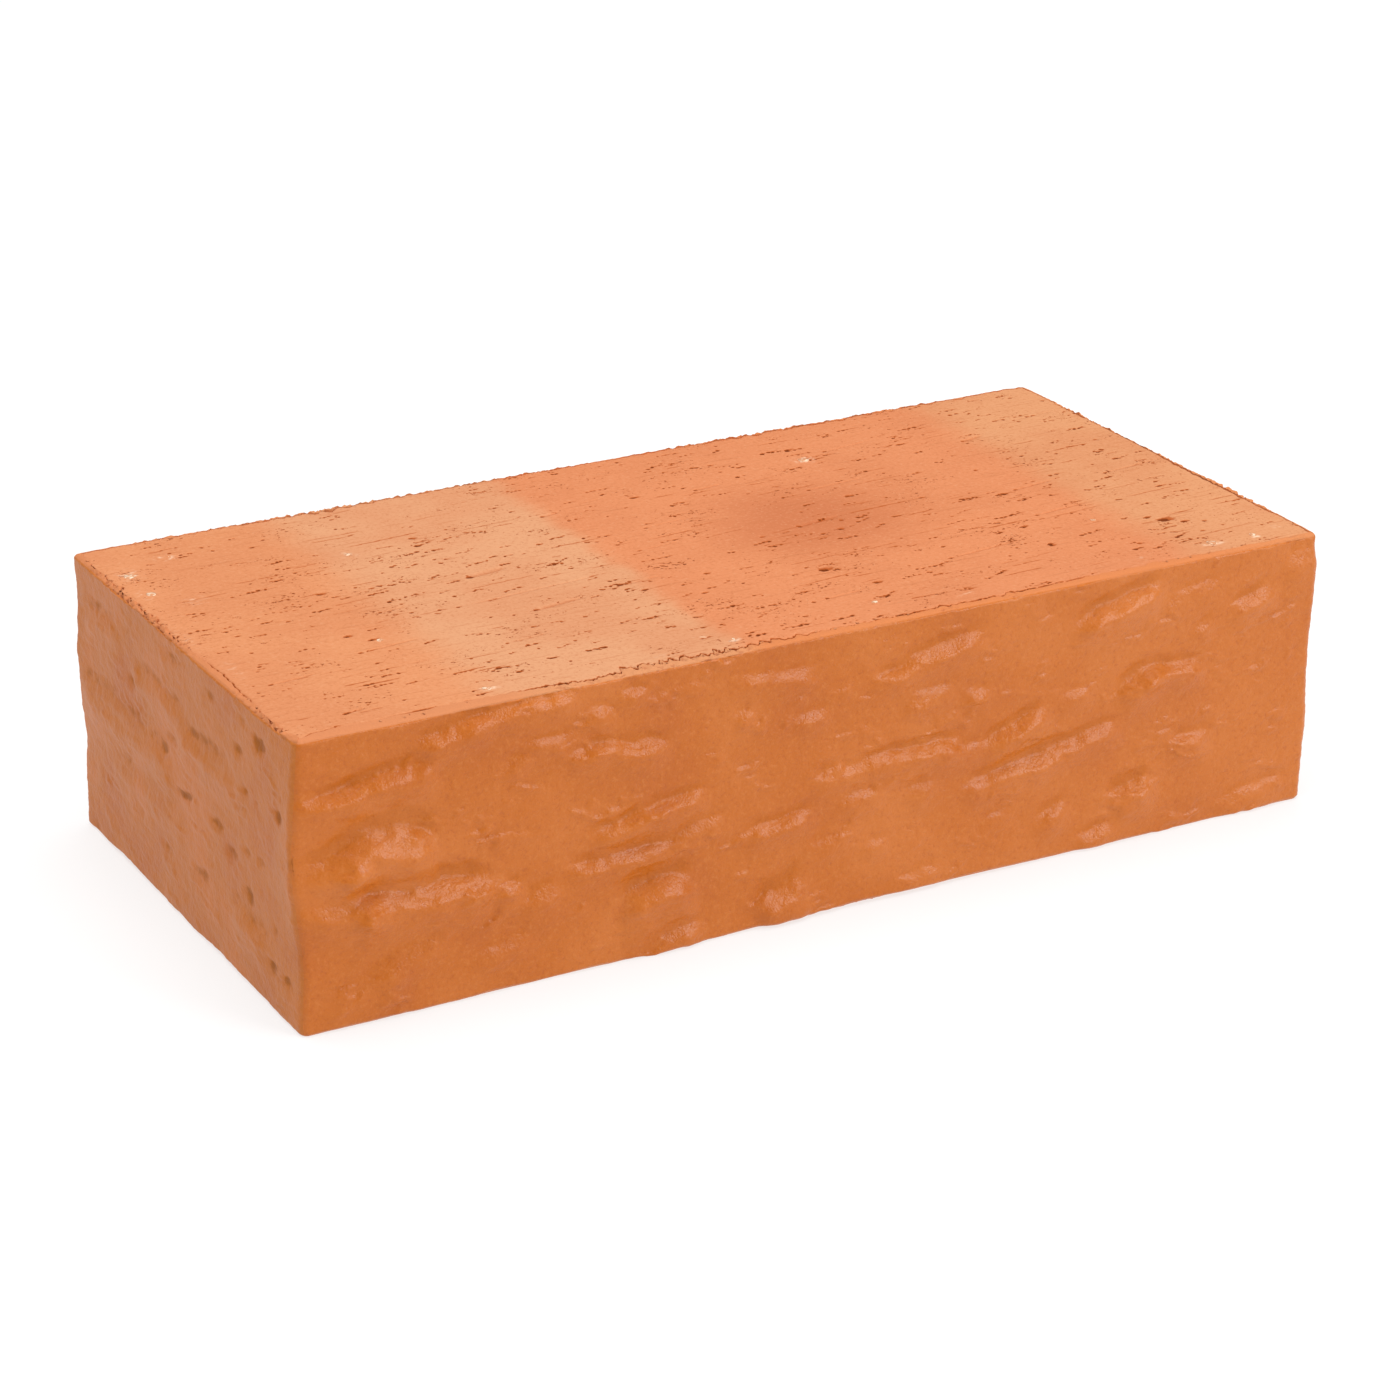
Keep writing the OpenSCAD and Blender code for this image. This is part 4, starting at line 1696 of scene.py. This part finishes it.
@dataclass(frozen=True)
class BrokenFinish:
    """A surface broken with no skin on it: matt, and mottled by the grains of its inside.

    As it stands it is torn clay, which shows its sandy inside.
    """

    name: str = "torn_clay_crumbs"
    colour: str = "C9865A"
    shade: str = "A3592C"
    roughness: float = 0.95
    grain: float = 0.7
    shaded_past: float = 0.66
    bump: tuple[float, float] = (0.5, 0.2)

    def make(self) -> bpy.types.Material:
        """Builds the material.

        Returns:
            The finished material.
        """
        coat = Coat(self.name, self.colour)
        grit = coat.pattern(self.grain, detail=3.0)
        coat.stain(grit, 0.40, self.shaded_past, 1.0, self.shade)
        return coat.finish([(grit, *self.bump)], {"Roughness": self.roughness})


# Chalky mineral grains that the wire broke: off-white, and stained by the clay round them.
PALE_MINERAL = BrokenFinish("pale_mineral_grain", "E6CBAE", "CB8C62", roughness=0.9, grain=0.9,
                            shaded_past=0.56, bump=(0.4, 0.15))


# ---------------------------------------------------------------- studio


@dataclass(frozen=True)
class Softbox:
    """A square soft lamp: where it hangs and its side in metres, and its power in watts."""

    name: str
    place: tuple[float, float, float]
    side: float
    power: float

    def hang(self) -> None:
        """Hangs the lamp, facing the middle of the brick."""
        lamp = bpy.data.objects.new(self.name, bpy.data.lights.new(self.name, "AREA"))
        lamp.data.size, lamp.data.energy = self.side, self.power
        lamp.location = self.place
        ahead = Vector((0, 0, 0.03)) - Vector(self.place)
        lamp.rotation_euler = ahead.to_track_quat("-Z", "Y").to_euler()
        bpy.context.scene.collection.objects.link(lamp)


@dataclass
class Studio:
    """White paper floor, white surround, soft lamps and the camera."""

    azimuth: float = 29.24
    elevation: float = 22.79
    roll: float = 0.38
    lens: float = 101.2
    sensor: float = 36.0
    eye: tuple[float, float, float] = (-0.3993, -0.7132, 0.3706)
    paper: str = "959595"
    paper_side: float = 3.2
    paper_glow: float = 0.68
    surround_glow: float = 0.38
    lamps: tuple[Softbox, ...] = (
        Softbox("key_softbox", (0.8, -1.3, 0.6), 0.7, 12.5),
        Softbox("top_softbox", (0.0, 0.1, 1.8), 1.8, 33.5),
        Softbox("left_softbox", (-1.6, -0.2, 0.9), 1.2, 4.8),
    )

    def build(self) -> None:
        """Sets up the floor, the surround, the lamps and the camera."""
        scene = bpy.context.scene
        scene.view_settings.view_transform = "Standard"
        self._floor()
        self._surround(scene)
        for lamp in self.lamps:
            lamp.hang()
        self._camera(scene)

    def _floor(self) -> None:
        """Lays a sheet of matt white paper under the brick, which glows evenly besides taking the lamps'
        light.
        """
        deselect_all()
        bpy.ops.mesh.primitive_plane_add(size=self.paper_side)
        floor = bpy.context.object
        floor.name = "paper_floor"
        material = bpy.data.materials.new("white_paper")
        material.use_nodes = True
        shader = material.node_tree.nodes["Principled BSDF"]
        shader.inputs["Base Color"].default_value = hex_to_linear(self.paper)
        shader.inputs["Roughness"].default_value = 0.9
        shader.inputs["Emission Color"].default_value = (1, 1, 1, 1)
        shader.inputs["Emission Strength"].default_value = self.paper_glow
        floor.data.materials.append(material)

    def _surround(self, scene: bpy.types.Scene) -> None:
        """Surrounds the set with white: bright behind the brick, softer as a light.

        Args:
            scene: The scene to light.
        """
        world = bpy.data.worlds.new("white_surround")
        scene.world = world
        world.use_nodes = True
        tree = world.node_tree
        tree.nodes.clear()
        glow = add_node(tree, "Background", None, {
            "Color": (1, 1, 1, 1), "Strength": self.surround_glow})
        backdrop = add_node(tree, "Background", None, {"Color": (1, 1, 1, 1), "Strength": 1.0})
        ray = add_node(tree, "LightPath").outputs["Is Camera Ray"]
        both = add_node(tree, "MixShader", None, {0: ray, 1: glow.outputs[0], 2: backdrop.outputs[0]})
        add_node(tree, "OutputWorld", None, {"Surface": both.outputs[0]})

    def _camera(self, scene: bpy.types.Scene) -> None:
        """Sets the camera at the eye, looking down along its azimuth and elevation.

        Args:
            scene: The scene to look at.
        """
        camera = bpy.data.objects.new("camera", bpy.data.cameras.new("camera"))
        camera.data.lens, camera.data.sensor_width = self.lens, self.sensor
        camera.data.clip_start, camera.data.clip_end = 0.05, 20.0
        turn, drop = math.radians(self.azimuth), math.radians(self.elevation)
        ahead = Vector((math.sin(turn) * math.cos(drop), math.cos(turn) * math.cos(drop), -math.sin(drop)))
        look = ahead.to_track_quat("-Z", "Y").to_matrix() @ Matrix.Rotation(math.radians(self.roll), 3, "Z")
        camera.matrix_world = Matrix.Translation(self.eye) @ look.to_4x4()
        scene.collection.objects.link(camera)
        scene.camera = camera


# ---------------------------------------------------------------- the brick


@dataclass
class Brick:
    """All the pieces of the brick, with their finishes."""

    size: BrickSize

    def build(self) -> None:
        """Models, dresses and places every piece."""
        rolled, clay = FiredSkinFinish().make(), WireCutClay().make()
        # The headers met no roller, so they are duller, and the die's streaks show on them;
        # the shade painted into their hollows is deeper.
        extruded = FiredSkinFinish("dull_extruded_skin", base="BC691B", roughness=0.46, ior=1.41,
                                   hollow_shade="8E511E", shadow=0.65, hollow_shine=0.12, drawn=0.12).make()
        for part in self._skins():
            self._finish(part.build(), rolled if part.side.is_long else extruded, "fired_skin", part.node)
        beds = [
            ClayBed(self.size, True, "top_bed_clay", TOP_GOUGES, TOP_PITS, TOP_SCUFFS),
            ClayBed(self.size, False, "bottom_bed_clay", pit_runs=560, drags=190, step=0.4,
                    most_faces=150_000, seed=4),
        ]
        for bed in beds:
            self._finish(bed.build(), clay, "fired_clay", "clay_body")
        self._finish(PaleGrains().build(), PALE_MINERAL.make(), "pale_grain", "exposed_grains")
        self._finish(ArrisCrumbs(self.size).build(), BrokenFinish().make(), "fired_clay")

    def _skins(self) -> list[FiredSkin]:
        """Describes the side skins.

        Returns:
            The front and the left, mark by mark, and the two others drawn in the same manner.
        """
        size = self.size
        marks = {
            Side.FRONT: FRONT_LAPS,
            Side.RIGHT: guessed_laps(Side.RIGHT, size, 8, 0.45) + guessed_dents(Side.RIGHT, size, 26),
            Side.BACK: guessed_laps(Side.BACK, size, 52) + guessed_dents(Side.BACK, size, 8),
            Side.LEFT: LEFT_LAPS + LEFT_DENTS,
        }
        skins = []
        for side in Side:
            # A mark near an upright arris runs on round it, so each face has its neighbours' marks too.
            left, right = side.beside(-1), side.beside(1)
            around = [mark.moved(-left.girth(size)) for mark in marks[left]]
            around += [mark.moved(side.girth(size)) for mark in marks[right]]
            kind = "stretcher" if side.is_long else "header"
            skin = FiredSkin(side, size, marks[side] + around, f"{side.name.lower()}_{kind}_skin")
            if not side.is_long:
                skin.step, skin.bark, skin.drawn, skin.frayed = 0.36, 0.35, 1.0, 0.5
            skins.append(skin)
        return skins

    @staticmethod
    def _finish(piece: bpy.types.Object, material: bpy.types.Material, slot: str, *nodes: str) -> None:
        """Dresses a piece and ties it to the frame.

        Args:
            piece: The finished mesh object.
            material: Its material.
            slot: The record's material slot.
            nodes: CAD nodes that the piece stands for.
        """
        piece.data.materials.clear()
        piece.data.materials.append(material)
        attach(piece, "root")
        if nodes:
            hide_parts(*nodes)
        faces = sum(len(p.vertices) - 2 for p in piece.data.polygons)
        LOG.info("%s: %d triangles, slot %s", piece.name, faces, slot)


def main() -> None:
    """Builds the studio and the brick."""
    logging.basicConfig(level=logging.INFO, format="%(message)s")
    Studio().build()
    Brick(BrickSize.from_frame()).build()


if __name__ == "__main__":
    main()
